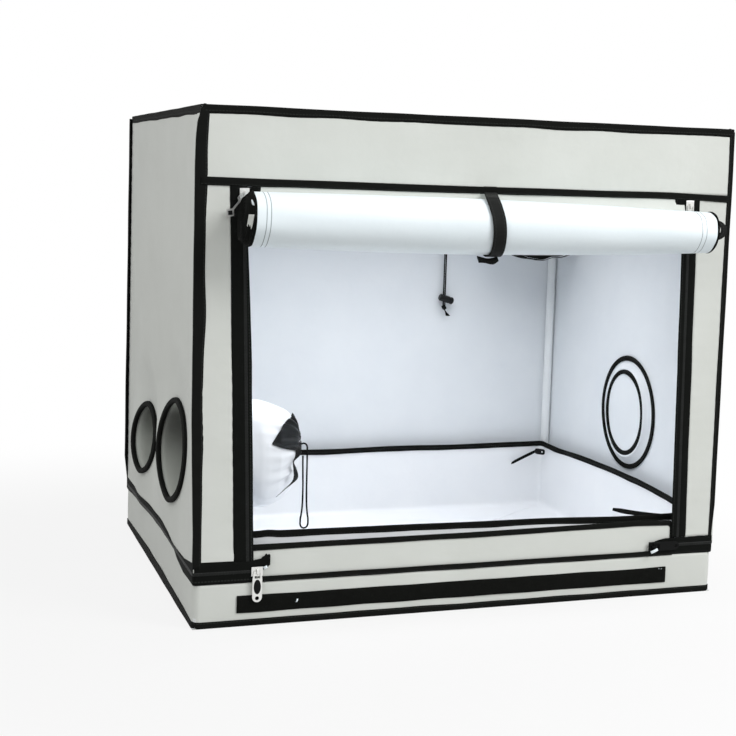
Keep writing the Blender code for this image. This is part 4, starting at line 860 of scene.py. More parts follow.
# One tie in each corner; the front right one sticks up over the rim, the back right one has its ladder buckle
tie_tape = tape_finish(
    "black_tie_ribbon", "#141514", "#0A0B0A", 0.0014, (), {"Roughness": 0.7, "Specular IOR Level": 0.1}
)
hanging = (-0.3700, 0.1120, -0.3560, 0.1065, -0.3380, 0.0985, -0.3200, 0.0905, -0.3050, 0.0850)
tie_routes = {
    "front_left": hanging,
    "front_right": (0.3700, 0.1090, 0.3400, 0.1120, 0.3095, 0.1157, 0.2750, 0.1213, 0.2420, 0.1282),
    "back_right": (0.3640, 0.1070, 0.3570, 0.1045, 0.3450, 0.0995, 0.3290, 0.0925, 0.3135, 0.0855),
    "back_left": hanging,
}
for label, route in tie_routes.items():
    sy = -1 if label.startswith("front") else 1
    middle = through([(x, sy * (TRAY_Y - 0.0095), z) for x, z in np.reshape(route, (5, 2))], 40)
    rounded = spread((0.8, 1, 1, 1, 1, 1, 1, 1, 1, 0.6), 40)
    half = rounded * np.array([0.0010, 0.0, 0.0034])
    ribbon(
        f"tray_tie_{label}", middle, half[None], 0.0008, tie_tape,
        behind=(0.0, sy * 2.0, 0.09),
    )


def full_turn(count):
    """Even angles once round, in a row."""
    return np.linspace(0, 2 * math.pi, count, endpoint=False)[None]


# The buckle: a moulded nylon frame that lies across the corner, with one small slot
BUCKLE = (0.3660, 0.2590, 0.1078)
turn, tube = full_turn(72), full_turn(16).T
blunt, far = (np.cos(turn) ** 4 + np.sin(turn) ** 4) ** -0.25, (1 + np.cos(tube)) / 2
side = (1 - far) * (0.0046 + 0.0013 * np.cos(turn)) + far * 0.0104 * blunt * np.cos(turn)
up = (1 - far) * 0.0013 * np.sin(turn) + far * 0.0056 * blunt * np.sin(turn)
deep = 0.0016 * np.sin(tube) + 0 * turn
points = np.stack([
    BUCKLE[0] + 0.66 * side - 0.75 * deep, BUCKLE[1] - 0.75 * side - 0.66 * deep, BUCKLE[2] + up,
], axis=-1)
# Moulded nylon again, in black: the same faint flow marks.
moulded = grained(
    "black_moulded_nylon", "#070808", "#101111", 0.006, 4.0, 0.0, 0.0,
    {"Roughness": 0.5, "Specular IOR Level": 0.2},
)
piece(
    "tray_tie_buckle", [patch(points, (True, True))], (moulded,),
    behind=BUCKLE,
)


# ZIPS
# Nylon coil zips on black tape: one up each side of the door, and one from each front corner along the side,
# whose ends stand proud of the cloth. Sliders are nickel-plated, each with its own pull.
zip_tape = tape_finish(
    "black_zip_tape", "#0F110F", "#070807", 0.0012, (0.0030,), {"Roughness": 0.8, "Specular IOR Level": 0.08}
)
# Nylon coil: rows of small loops 1.5 mm apart, drawn at 2 mm, that catch a dull grey light.
coil_finish = tape_finish(
    "black_nylon_coil", "#1E201F", "#080908", 0.0020, (), {"Roughness": 0.5, "Specular IOR Level": 0.15}
)


COIL_HALF, COIL_PROUD, COIL_Z = 0.0026, 0.0019, 0.0763


def bead(run, middle, place):
    """The raised back of a coil, half round across its run, with a shallow groove along its middle."""
    angle = np.linspace(0, math.pi, 13)[:, None]
    groove = 1 - 0.22 * np.exp(-(((angle - math.pi / 2) / 0.22) ** 2))
    height = middle - COIL_HALF * np.cos(angle) + 0 * run
    out = 0.0002 + COIL_PROUD * np.sin(angle) ** 0.7 * groove * (
        1 + 0.10 * np.sin(2 * math.pi * run / 0.0040)
    )
    return place(np.broadcast_to(run, height.shape), height, out)


def on_door_side(side):
    """Places on the zip at one side of the door: across runs outwards from its coil."""
    def place(z, across, out):
        return np.stack([coil_x(side, z) + side * across, -OUT_Y - out, z], axis=-1)
    return place


ZIP_TOP = 0.5985
head_shape = (("left", 0.0905, 0.5775, -0.0225, 0.0190), ("right", 0.0876, 0.5480, -0.0240, 0.0175))
for side, (label, foot, head_low, head_in, head_out) in zip((-1, 1), head_shape):
    zip_run = np.linspace(foot, ZIP_TOP, 520)
    # The inner edge runs under the roll; the left one leans outwards on its way up
    inner = np.interp(zip_run[::3], (0.36, 0.45, 0.52), (-0.0085, -0.0065, -0.0045)) if side < 0 else -0.0105
    place = on_door_side(side)
    tape = flat_tape(
        f"door_zip_tape_{label}", zip_run[::3], inner, TAPE_OUT[side], place, zip_tape, 101 + side
    )
    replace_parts(tape, f"door_zip_{label}")
    piece(f"door_zip_coil_{label}", [patch(bead(zip_run, 0.0, place))], (coil_finish,))
    # The two halves of the tape spread apart above the slider
    head_run = np.linspace(head_low, ZIP_TOP - 0.0020, 20)
    flat_tape(
        f"door_zip_head_{label}", head_run, head_in, head_out, place, zip_tape, 104 + side, 0.0014
    )


ZIP_CORNER_R = 0.004


def round_corner(side):
    """Places along a base zip: its run goes from the middle of the front out to the corner, round it, and
    back along the side wall."""
    def place(run, z, out):
        soft = ZIP_CORNER_R
        reach = OUT_X - soft
        bend = np.clip((run - reach) / (soft * math.pi / 2), 0, 1) * math.pi / 2
        past = np.maximum(run - reach - soft * math.pi / 2, 0)
        x = np.minimum(run, reach) + (soft + out) * np.sin(bend)
        y = -(OUT_Y - soft) - (soft + out) * np.cos(bend) + past
        bulge = sum(askew(y, z, vent) for vent in VENT_OUT) * (past > 0) if side < 0 else 0.0
        return np.stack([side * (x + bulge), y, z], axis=-1)
    return place


# Past the slider only the upper half of the left tape goes on, and it curls up; the right one ends ragged and
# bent back. Each has stations: how far along its run, its low edge and its high edge there. Along the left
# side the tape is pinched half way to the front.
stub_shape = {
    -1: (
        (0.2945, 0.0845, 0.0990), (0.3000, 0.0800, 0.1000), (0.3070, 0.0770, 0.0935),
        (0.3180, 0.0612, 0.0915), (0.3950, 0.0606, 0.0925), (0.4107, 0.0612, 0.0898),
        (0.4620, 0.0606, 0.0815), (0.5149, 0.0670, 0.0800), (0.5420, 0.0764, 0.0795),
        (0.5850, 0.0766, 0.0885), (0.6300, 0.0764, 0.0925), (0.6907, 0.0750, 0.0900),
        (0.7643, 0.0728, 0.0880), (0.8672, 0.0694, 0.0845), (0.9737, 0.0625, 0.0825),
    ),
    1: (
        (0.2890, 0.0735, 0.0770), (0.2940, 0.0700, 0.0820), (0.3060, 0.0640, 0.0850),
        (0.3180, 0.0612, 0.0870), (0.3900, 0.0612, 0.0880), (0.4300, 0.0612, 0.0915),
    ),
}
for side, label in SIDES:
    stations, lows, highs = np.transpose(stub_shape[side])
    run = np.concatenate(
        [np.linspace(stations[0], 0.33, 60)[:-1], np.linspace(0.33, OUT_X + 2 * OUT_Y - 0.005, 640)]
    )
    place = round_corner(side)

    def curled(run, z, out):
        """The loose end curls off the cloth."""
        loose = np.clip((stations[0] + 0.022 - run) / 0.024, 0, 1)
        return place(run, z, out + 0.0045 * loose**2)

    torn = 0.0009 * np.sin(run / 0.0007) * np.clip((stations[0] + 0.016 - run) / 0.010, 0, 1)
    low, high = (np.interp(run, stations, edge) + torn for edge in (lows, highs))
    tape = flat_tape(
        f"base_zip_tape_{label}", run[::2], low[::2], high[::2], curled, zip_tape, 107 + side
    )
    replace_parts(tape, f"base_zip_{label}")
    coil_run = np.linspace(stations[0] + 0.012, run[-1], 700)
    centre = COIL_Z
    if side < 0:
        pinched = (COIL_Z, 0.0776, 0.0810, 0.0795, 0.0768, 0.0738, 0.0705)
        centre = np.interp(coil_run, (0.46, 0.54, 0.60, 0.69, 0.76, 0.87, 0.97), pinched)
    piece(f"base_zip_coil_{label}", [patch(bead(coil_run, centre, curled))], (coil_finish,))

# Die-cast zinc under nickel: bright, with soft casting waves and a few dull rubs.
nickel, tree, shader = finish_of("nickel_plated_zinc", {"Metallic": 1.0, "Base Color": linear("#E6E6E3")})
rub = noise(tree, 0.004, 4.0)
rough = add(tree, "MapRange", {}, {"Value": rub, "To Min": 0.22, "To Max": 0.40}).outputs[0]
relief = add(tree, "Bump", {}, {"Strength": 0.12, "Distance": 0.0003, "Height": rub})
tree.links.new(rough, shader.inputs["Roughness"])
tree.links.new(relief.outputs["Normal"], shader.inputs["Normal"])
bright = (
    "base_slider_left", "base_pull_left", "door_slider_left", "door_slider_right", "door_pull_left",
    "door_pull_right",
)
refinish(bright, nickel)

# The right base slider and its pull are lost among the black tape, so their finish is a guess: black enamel
# over the zinc, with soft dips.
enamel = grained(
    "black_enamelled_zinc", "#090A0A", "#131414", 0.003, 3.0, 0.0, 0.0,
    {"Roughness": 0.5, "Specular IOR Level": 0.1},
)
refinish(["base_slider_right", "base_pull_right"], enamel)


def pull_insert(name, outline, pivot, lean, body):
    """A black cushion in a pull's hole: an outline (across, down) that domes to a low ridge on both faces."""
    grow = np.array([0.0, 0.5, 0.85, 1.0, 1.0, 0.85, 0.5, 0.0])[:, None]
    deep = np.array([0.0011, 0.0010, 0.0007, 0.0002, -0.0002, -0.0007, -0.0010, -0.0011])[:, None]
    middle = outline.mean(axis=0)
    across, down = (middle[k] + grow * (outline[None, :, k] - middle[k]) for k in (0, 1))
    x = pivot[0] + across * math.cos(lean) + down * math.sin(lean)
    z = pivot[2] - across * math.sin(lean) + down * math.cos(lean)
    points = np.stack([x, pivot[1] + deep + 0 * across, z], axis=-1)
    centre = (pivot[0] + middle[1] * math.sin(lean), pivot[1], pivot[2] + middle[1] * math.cos(lean))
    return piece(name, [patch(points, (False, True))], (enamel,), body, centre)


DOOR_PULL_Y, DOOR_PULL_Z, DOOR_PULL_LEAN = -0.30365, 0.5865, math.radians(38)
turn = full_turn(24)[0]
blunt = 1 / (np.abs(np.sin(turn)) + np.abs(np.cos(turn)))
diamond = np.stack([0.0048 * np.sin(turn) * blunt, -0.0314 + 0.0048 * np.cos(turn) * blunt], axis=1)
pull_insert(
    "door_pull_insert_left", diamond, (-0.3405, DOOR_PULL_Y, DOOR_PULL_Z), DOOR_PULL_LEAN, "door_pull_left"
)
pull_insert("door_pull_insert_right", diamond, (0.3285, DOOR_PULL_Y, DOOR_PULL_Z), 0.0, "door_pull_right")
oval = np.stack([0.0050 * np.sin(turn), -0.0208 + 0.0102 * np.cos(turn)], axis=1)
pull_insert("base_pull_insert_left", oval, (-0.3120, -0.30435, COIL_Z), 0.0, "base_pull_left")


# ROLLED DOOR
# The door's cloth, unzipped and wound forwards and up with its white lining outside. A black tape edge shows
# at each end, two rows of stitches run round beside it, and the stretch up to the seam shows the grey face.
ROLL_LEFT, ROLL_RIGHT = -0.3448, 0.3380
ROLL_BACK_Y = -0.3095
ROLL_TURNS, ROLL_PITCH = 2.35, 0.0036
# At its left end, middle and right end
ROLL_RADII, ROLL_HEIGHTS = (0.0370, 0.0395, 0.0310), (0.5560, 0.5525, 0.5500)
STITCH_LEFT, STITCH_RIGHT = (-0.3289, -0.3230), (0.3126, 0.3200)


def along_roll(left, middle, right, share):
    """A value that runs smoothly through its left, middle and right ends of the roll."""
    ends = left * (1 - share) * (1 - 2 * share) + right * share * (2 * share - 1)
    return ends + 4 * middle * share * (1 - share)


def roll_axis(x):
    """The roll's radius and the place of its axis at a place along it."""
    share = (x - ROLL_LEFT) / (ROLL_RIGHT - ROLL_LEFT)
    radius = along_roll(*ROLL_RADII, share)
    return radius, ROLL_BACK_Y - radius, along_roll(*ROLL_HEIGHTS, share)


def wound(x, angle):
    """A spiral about the roll's axis: each turn lies a pitch inside the last and slips sideways towards the
    ends, whose top stands out; shallow wrinkles run along the roll and gather towards its ends."""
    radius, y, z = roll_axis(x)
    turns = angle / (2 * math.pi)
    near_end = np.exp(-np.minimum(x - ROLL_LEFT, ROLL_RIGHT - x) / 0.06)
    wrinkle = 0.0004 * swell(x * 0.25, 0.035 * angle, 111, 0.045)
    wrinkle = wrinkle + 0.0005 * near_end * np.sin(7 * angle + 18 * x)
    r = radius - ROLL_PITCH * turns + wrinkle
    end_share = np.clip((np.abs(x) - 0.22) / 0.11, 0, 1)
    slip = (0.0018 - 0.0025 * np.sin(angle) - np.where(x < 0, 0.0045, 0.0016) * turns) * end_share
    return np.stack([x + slip, y + r * np.cos(angle), z - r * np.sin(angle)], axis=-1)


# The lining again, with the door's stitched hems: two grey lines round the roll near each end.
door_lining = cloth_finish(
    "white_coated_door_lining", "#F0F9FD", "#E9F4F9", 0.0012,
    {"Roughness": 0.42, "Coat Weight": 0.12, "Coat Roughness": 0.35},
)
tree = door_lining.node_tree
shader = tree.nodes["Principled BSDF"]
plain = shader.inputs["Base Color"].links[0].from_socket
spot = add(tree, "TexCoord", {}, {})
along_it = add(tree, "SeparateXYZ", {}, {0: spot.outputs["UV"]}).outputs["Y"]
sewn = 0.0
for distance in (*STITCH_LEFT, *STITCH_RIGHT):
    sewn = compute(tree, "MAXIMUM", sewn, compute(tree, "COMPARE", along_it, distance - ROLL_LEFT, 0.0006))
tree.links.new(mixed(tree, sewn, plain, "#9AA3A8"), shader.inputs["Base Color"])

hem = np.array([0.0, 0.0018, 0.0035])
inner = np.linspace(ROLL_LEFT + 0.008, ROLL_RIGHT - 0.008, 144)
x = np.concatenate([ROLL_LEFT + hem, inner, ROLL_RIGHT - hem[::-1]])[None]
angle = np.linspace(0, 2 * math.pi * ROLL_TURNS, 150)[:, None]
points = wound(x + 0 * angle, angle + 0 * x)
middle = (x[:, :-1] + x[:, 1:]) / 2 + 0 * angle[:-1]
bands = np.where((middle < ROLL_LEFT + hem[-1]) | (middle > ROLL_RIGHT - hem[-1]), 1, 0)
roll = piece(
    "door_roll_cloth", [patch(points)], (door_lining, zip_tape, oxford, zip_tape),
    "door_roll", (0.0, ROLL_BACK_Y - 0.039, 0.5525), bands,
)
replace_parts(thicken(roll, 0.0012, 2), "door_roll")

# Each end of the roll is closed by the wound edges of the door's zip tape, the inner turns slipped sideways
for side, label, end_x, slipped in ((-1, "left", ROLL_LEFT, 0.0045), (1, "right", ROLL_RIGHT, 0.0016)):
    radius, end_y, end_z = roll_axis(end_x)
    turn = full_turn(120)
    r = (radius - 0.0006) * np.linspace(1, 0.02, 60)[:, None]
    slip = 0.0018 + 0.0025 * np.sin(turn) - slipped * np.clip((radius - r) / ROLL_PITCH, 0, ROLL_TURNS)
    y, z = r * np.cos(turn), r * np.sin(turn)
    ridge = 0.0008 * np.sin(2 * math.pi * r / ROLL_PITCH - turn) + 0.0008 * swell(y, z, 113, 0.03)
    points = np.stack([end_x + slip - side * (0.0012 + ridge), end_y + y, end_z + z], axis=-1)
    piece(
        f"roll_end_tape_{label}", [patch(points, (False, True))], (zip_tape,), "door_roll",
        (end_x - side * 0.05, end_y, end_z),
    )
# A fold of the door's grey face and a sliver of its lining show between the turns at the left end
middle = through([(-0.3530, -0.3755, 0.5530), (-0.3506, -0.3792, 0.5530), (-0.3478, -0.3828, 0.5530)], 8)
ribbon(
    "roll_end_fold", middle, np.array([[[0.0, -0.0060, 0.0095]]]), 0.0006, oxford, "door_roll",
    (-0.30, -0.33, 0.55),
)
middle = through([(-0.3475, -0.3722, 0.5812), (-0.3462, -0.3738, 0.5762), (-0.3444, -0.3748, 0.5705)], 8)
half = np.array([[[0.0009, -0.0011, 0.0]]]) * np.array(
    [0.3, 0.8, 1.0, 1.1, 1.1, 1.0, 0.7, 0.2]
)[None, :, None]
ribbon(
    "roll_end_sliver", middle, half, 0.0005, door_lining, "door_roll", (-0.30, -0.33, 0.55)
)

# From the seam down to the back of the roll, in one fixed shape; on the real door it pays out as the roll
# comes down
CURTAIN_LEFT, CURTAIN_RIGHT, CURTAIN_TOP = -0.3311, 0.3198, 0.6010
x = np.linspace(CURTAIN_LEFT, CURTAIN_RIGHT, 90)[None]
share = np.linspace(0, 1, 26)[:, None]
_, _, roll_z = roll_axis(x)
z = CURTAIN_TOP + (roll_z + 0.0003 - CURTAIN_TOP) * share
ease = np.clip((share - 0.1) / 0.9, 0, 1)
x = x + 0 * share
sag = 0.0008 * np.sin(math.pi * share) * (1 + swell(x, z, 121, 0.1))
out = (ROLL_BACK_Y + OUT_Y) * (3 * ease**2 - 2 * ease**3) - sag
points = np.stack([x, -OUT_Y + out, z], axis=-1)
curtain = piece(
    "door_curtain_cloth", [patch(points)], (oxford, lining), None, (0.0, 0.0, 0.55)
)
thicken(curtain, CLOTH)
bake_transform(curtain)
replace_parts(curtain, "door_curtain")

# A webbing loop sewn into the roll's right end, for pulling the door taut; it lies flat, facing forwards
webbing = tape_finish(
    "black_nylon_webbing", "#1B1C1B", "#0C0D0C", 0.0018, (0.0030, 0.0160),
    {"Roughness": 0.7, "Specular IOR Level": 0.12},
)
turn = np.linspace(-0.55 * math.pi, 0.55 * math.pi, 50)
side, up = np.cos(turn), np.sin(turn)
middle = np.stack([0.3430 + 0.0184 * side, np.full(50, -0.3450), 0.5536 + 0.0130 * up], axis=1)
half = (0.0022 + 0.0026 * np.clip(side, 0, 1) ** 2)[:, None] * np.stack([side, 0.25 * up, up], axis=1)
ribbon("roll_end_loop", middle, half[None], 0.0014, webbing, "door_roll", (0.3430, 0.0, 0.5545))


# STRAP
# Nylon webbing, 19 mm wide, sewn into the valance seam: down over the front of the roll, round under it, and
# up behind it on the inside of the door.
STRAP_X, STRAP_HALF, STRAP_THICK = -0.0065, 0.0095, 0.0016
BEHIND_DOOR_Y = -0.2950
radius, axis_y, axis_z = roll_axis(STRAP_X)
ring = radius + 0.0005 + STRAP_THICK
sweep = np.linspace(math.radians(100), math.radians(290), 60)
arc = np.stack([axis_y + ring * np.cos(sweep), axis_z + ring * np.sin(sweep)], axis=1)
last = arc[-1]
rest = [
    (
        last[0] + (BEHIND_DOOR_Y - last[0]) * t,
        last[1] + (BEHIND_DOOR_Y - last[0]) * (1 - math.cos(t * math.pi / 2)),
    )
    for t in (0.35, 0.7, 0.92)
]
start = [(-0.3013, 0.6055), (-0.3013, 0.5985)]
line = through(
    np.concatenate([start, arc[::4], rest, [(BEHIND_DOOR_Y, axis_z), (BEHIND_DOOR_Y, 0.5960)]]), 150
)
share = np.array([-1.0, -0.93, -0.5, 0.0, 0.5, 0.93, 1.0])[:, None]
# It crosses the top of the roll askew, and seen from the front it bows to the right
down_share = (0, 0.04, 0.08, 0.12, 0.16, 0.20, 0.24, 0.28, 0.32, 0.36, 0.40, 0.48, 0.56, 0.62, 1)
over = (
    0.0165, 0.0160, 0.0120, 0.0070, 0.0022, -0.0028, -0.0066, -0.0080, -0.0079, -0.0065, -0.0052, -0.0028,
    0.0005, 0.0030, 0.0030,
)
bow = np.interp(np.linspace(0, 1, len(line)), down_share, over)
x = STRAP_X + bow + STRAP_HALF * share + wobble(np.linspace(0, 0.25, len(line)), 131, 0.0004)
points = np.stack([x, *(np.broadcast_to(line[:, k], x.shape) for k in (0, 1))], axis=-1)
strap = piece(
    "roll_strap_webbing", [patch(points)], (webbing,), "door_roll", (STRAP_X, axis_y, axis_z)
)
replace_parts(thicken(strap, STRAP_THICK, 0), "roll_strap")
# Its loose end is folded and sticks out to the left under the roll
middle = through([
    (0.0040, -0.3500, 0.5090), (-0.0040, -0.3540, 0.5062), (-0.0120, -0.3560, 0.5058),
    (-0.0200, -0.3555, 0.5072), (-0.0275, -0.3550, 0.5082),
], 40)
half = np.concatenate([
    np.zeros((40, 1)), spread((0.0030, 0.0040, 0.0020, 0.0040), 40),
    spread((0.0030, 0.0038, 0.0030, 0.0040), 40),
], axis=1)
ribbon("roll_strap_end", middle, half[None], 0.0014, webbing, "door_roll", (-0.01, -0.30, 0.52))


# HOOK-AND-LOOP STRIP
# The loop half of a hook-and-loop fastener, 24 mm wide: brushed nylon loops on a woven tape, sewn flat on the
# skirt's front along both edges.
# Brushed loops stand up in tufts of about a millimetre, so the black looks soft and slightly dusty.
loop_pile, tree, shader = finish_of("black_nylon_loop_pile", {"Roughness": 0.9, "Specular IOR Level": 0.08})
spot = add(tree, "TexCoord", {}, {})
tuft = add(
    tree, "TexVoronoi", {}, {"Vector": spot.outputs["Object"], "Scale": 1 / 0.0014}
).outputs["Distance"]
dress(tree, shader, mixed(tree, noise(tree, 0.008, 5.0), "#090A08", "#141513"), tuft, 0.6, 0.0006)
GRIP_LEFT, GRIP_RIGHT, GRIP_LOW, GRIP_HIGH = -0.3390, 0.3200, 0.0190, 0.0430
grip_run = np.linspace(GRIP_LEFT, GRIP_RIGHT, 150)
grip = flat_tape("hook_loop_pile", grip_run, GRIP_LOW, GRIP_HIGH, on_front, loop_pile, 141, 0.0014)
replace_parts(grip, "hook_loop_strip")
# Ends of the white sewing thread stand out of it in three places. Both base zips end in a white mark: at the
# left the zip's metal top stop, drawn in white cloth with its shine painted in; at the right a painted
# highlight, where the right base slider catches the light.
threads = (
    (-0.2549, 0.0318, 0.0024, 0.0010), (0.3077, 0.0411, 0.0006, 0.0003), (0.3119, 0.0408, 0.0006, 0.0003)
)
for number, (x, z, long, wide) in enumerate(threads):
    middle = through(
        [(x - 0.3 * long, -0.3013, z - long), (x, -0.3022, z), (x + 0.3 * long, -0.3015, z + long)], 8
    )
    half = np.array([[[wide, 0.0, 0.0]]])
    ribbon(f"thread_end_{number + 1}", middle, half, 0.0004, door_lining, behind=(x, 0.0, z))
# Painted highlights: white cloth for the left stop's shine and for the right slider's glint
for label, route, wide in (
    ("left", ((-0.3035, -0.3030, 0.0808), (-0.3007, -0.3048, 0.0822), (-0.2984, -0.3034, 0.0830)), 0.0015),
    ("right", ((0.2884, -0.3095, 0.0690), (0.2940, -0.3105, 0.0713), (0.2998, -0.3095, 0.0734)), 0.0018),
):
    half = wide * np.array([-0.5, 0.0, 1.0])
    ribbon(f"base_zip_stop_and_glint_{label}", through(route, 10), half[None, None], 0.0010, door_lining)


# LEFT VENTS
# Two duct sleeves through the left wall. Each starts at a mouth bound with black tape that stands askew on
# the wall, and goes in as a tube of cloth, grey inside and white outside, which a drawcord gathers shut.
SLEEVE_CLOTH = 0.0010


def vent_ring(name, centre, radius, place, seed, flat=0.0, width=0.0085, thick=0.0065, tall=1.0):
    """Binding tape folded over a round mouth: a flattened tube carried round a circle that is drawn to a
    blunt point at its top and bottom. place turns (sideways, up, out) to points."""
    turn, around = full_turn(150), full_turn(16).T
    lens_shape = np.abs(np.sin(turn)) ** flat
    wander = swell(np.cos(turn) * 0.1, np.sin(turn) * 0.1, seed, 0.10)
    half = width / 2 * (1 + 0.10 * wander)
    middle = radius - width / 2
    r = middle + half * np.sign(np.cos(around)) * np.abs(np.cos(around)) ** 0.6
    out = thick / 2 * (1 + np.sign(np.sin(around)) * np.abs(np.sin(around)) ** 0.6) - 0.0004
    side, up = r * np.sin(turn) * lens_shape, tall * r * np.cos(turn)
    points = place(centre[0] + side, centre[1] + up, out + 0 * turn)
    return piece(
        name, [patch(points, (True, True))], (binding,), behind=points.mean(axis=(0, 1))
    )


def left_mouth(vent):
    """Places on the left wall at a vent, out from the skewed cloth."""
    return lambda y, z, out: np.stack([-OUT_X - out - askew(y, z, vent), y, z], axis=-1)


for vent, label, seed in ((VENT_OUT[0], "large", 151), (VENT_OUT[1], "small", 157)):
    vent_ring(f"{label}_vent_mouth_binding", vent[0], vent[1], left_mouth(vent), seed, 0.2)


def duct(line, folds, turn, vent, slim=(1.0, 1.0, 1.0, 1.0)):
    """A tube that goes in from the left wall. Each station of its line has a depth, a radius and the place of
    its middle; folds moves the radius, slim narrows the sections front to back, and the mouth stands off the
    wall as its vent does."""
    depth, radius, y0, z0 = (line[:, k : k + 1] for k in range(4))
    r = radius + folds(depth, radius, turn)
    y, z = y0 + np.interp(depth, SLIM_FROM, slim) * r * np.sin(turn), z0 + r * np.cos(turn)
    return np.stack([depth - OUT_X - askew(y, z, vent) * np.clip(1 - depth / 0.03, 0, 1), y, z], axis=-1)


# The large sleeve blows up into a ball, which hangs a little and flattens towards its neck, which is held up
SLIM_FROM, BIG_SLIM = (0.115, 0.145, 0.170, 0.190), (1.0, 0.92, 0.72, 0.60)
mouth = BIG_VENT_R - RING_WIDE
big_line = through([
    (0.0002, mouth + 0.0050, -0.1280, 0.2130), (0.0060, mouth, -0.1280, 0.2130),
    (0.0300, mouth + 0.0010, -0.1280, 0.2125), (0.0800, 0.0765, -0.1280, 0.2085),
    (0.1160, 0.0800, -0.1275, 0.2045), (0.1320, 0.0780, -0.1270, 0.2030), (0.1500, 0.0705, -0.1270, 0.2020),
    (0.1670, 0.0590, -0.1275, 0.2030), (0.1770, 0.0465, -0.1285, 0.2060), (0.1812, 0.0345, -0.1310, 0.2100),
    (0.1830, 0.0240, -0.1345, 0.2150), (0.1848, 0.0135, -0.1390, 0.2200), (0.1850, 0.0120, -0.1400, 0.2210),
], 110)
turn = full_turn(200)


def big_folds(depth, radius, turn):
    """Folds that start at the gathered neck and fade over the ball, and slow dents."""
    drawn = np.clip((depth - 0.103) / 0.066, 0, 1) ** 1.5
    folds = 0.0030 * np.sin(13 * turn + 2.5 * np.sin(3 * turn)) + 0.0016 * np.sin(29 * turn)
    slow = 0.0014 * swell(0.07 * np.sin(turn) + 0 * depth, 0.07 * np.cos(turn) + depth, 161, 0.09)
    return (drawn * folds + slow * np.clip(depth / 0.03, 0, 1)) * np.minimum(1, radius / 0.03)


points = duct(big_line, big_folds, turn, VENT_OUT[0], BIG_SLIM)
sleeve_white = cloth_finish(
    "white_duct_sleeve_cloth", "#F1F4F8", "#E9EEF4", 0.0012,
    {"Roughness": 0.45, "Coat Weight": 0.1, "Coat Roughness": 0.4},
)
sleeve_grey = cloth_finish("grey_sleeve_inside_cloth", "#B9BDB6", "#A9ADA6", 0.0012, {"Roughness": 0.7})
# Painted shade: inside the mouths the grey cloth is painted darker in a band above the middle, standing in
# for the shade of the fold that droops there.
tree = sleeve_grey.node_tree
shader = tree.nodes["Principled BSDF"]
unshaded_sleeve_grey = shader.inputs["Base Color"].links[0].from_socket
spot = add(tree, "TexCoord", {}, {})
level = add(tree, "SeparateXYZ", {}, {0: spot.outputs["Object"]}).outputs["Z"]
below, above = (
    add(
        tree, "MapRange", {"interpolation_type": "SMOOTHSTEP"},
        {"Value": level, "From Min": none, "From Max": full},
    )
    for none, full in ((0.155, 0.245), (0.285, 0.252))
)
painted_fold_shade = compute(tree, "MULTIPLY", below.outputs[0], above.outputs[0])
# Painted shade: the fold's shade, #6A6C68, is painted over the plain grey by height
tree.links.new(mixed(tree, painted_fold_shade, unshaded_sleeve_grey, "#6A6C68"), shader.inputs["Base Color"])
big_sleeve = piece(
    "large_duct_sleeve", [patch(points, (False, True))], (sleeve_white, sleeve_grey),
    behind=(-0.32, BIG_VENT[0], BIG_VENT[1]),
)
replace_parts(thicken(big_sleeve, SLEEVE_CLOTH), "sleeve_left_large")

mouth = SMALL_VENT_R - RING_WIDE
small_pairs = np.array([
    (0.0002, mouth + 0.0050), (0.0060, mouth), (0.0184, mouth + 0.0010), (0.0495, 0.0585), (0.0713, 0.0615),
    (0.0897, 0.0555), (0.1000, 0.0421), (0.1052, 0.0246), (0.1070, 0.0112), (0.1093, 0.0110),
    (0.1121, 0.0150), (0.1150, 0.0200),
])
small_line = through(
    np.concatenate([small_pairs, np.broadcast_to(SMALL_VENT, small_pairs.shape)], axis=1), 100
)


def small_folds(depth, radius, turn):
    """As the large sleeve's, with the folds running on through the neck into the flared end."""
    drawn = np.clip((depth - 0.0575) / 0.046, 0, 1) ** 1.5
    folds = 0.0022 * np.sin(11 * turn + 2 * np.sin(2 * turn)) + 0.0010 * np.sin(23 * turn)
    return drawn * folds * np.minimum(1, radius / 0.022)


points = duct(small_line, small_folds, turn, VENT_OUT[1])
small_sleeve = piece(
    "small_duct_sleeve", [patch(points, (False, True))], (sleeve_white, sleeve_grey),
    behind=(-0.35, SMALL_VENT[0], SMALL_VENT[1]),
)
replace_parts(thicken(small_sleeve, SLEEVE_CLOTH), "sleeve_left_small")

# The black satin cuff beyond the drawcord: it is pleated from the neck and falls back over the ball's front.
# Satin: a smooth black whose folds flash blue-grey where the light grazes them.
satin, tree, shader = finish_of(
    "black_satin_cuff", {"Roughness": 0.28, "Specular IOR Level": 0.2, "Anisotropic": 0.3}
)
shade = mixed(tree, noise(tree, 0.012, 3.0), "#050606", "#0D0F11")
dress(tree, shader, shade, ribbed(tree, "Y", 0.0010), 0.2, 0.0002)


def over_ball(back, lift, turn):
    """Places on the large sleeve's outside: back is the way from its neck, lift the height above the
    cloth."""
    spacing = np.linalg.norm(np.diff(big_line[:, :2], axis=0), axis=1).mean()
    index = np.maximum(len(big_line) - 1 - back / spacing, 0)
    columns = np.concatenate([big_line, heading(big_line[:, :2])], axis=1).T
    depth, radius, y0, z0, inward, growing = (np.interp(index, np.arange(len(big_line)), c) for c in columns)
    r = radius + big_folds(depth, radius, turn) + lift * inward
    y, z = y0 + np.interp(depth, SLIM_FROM, BIG_SLIM) * r * np.sin(turn), z0 + r * np.cos(turn)
    return np.stack([depth - lift * growing - OUT_X, y, z], axis=-1)


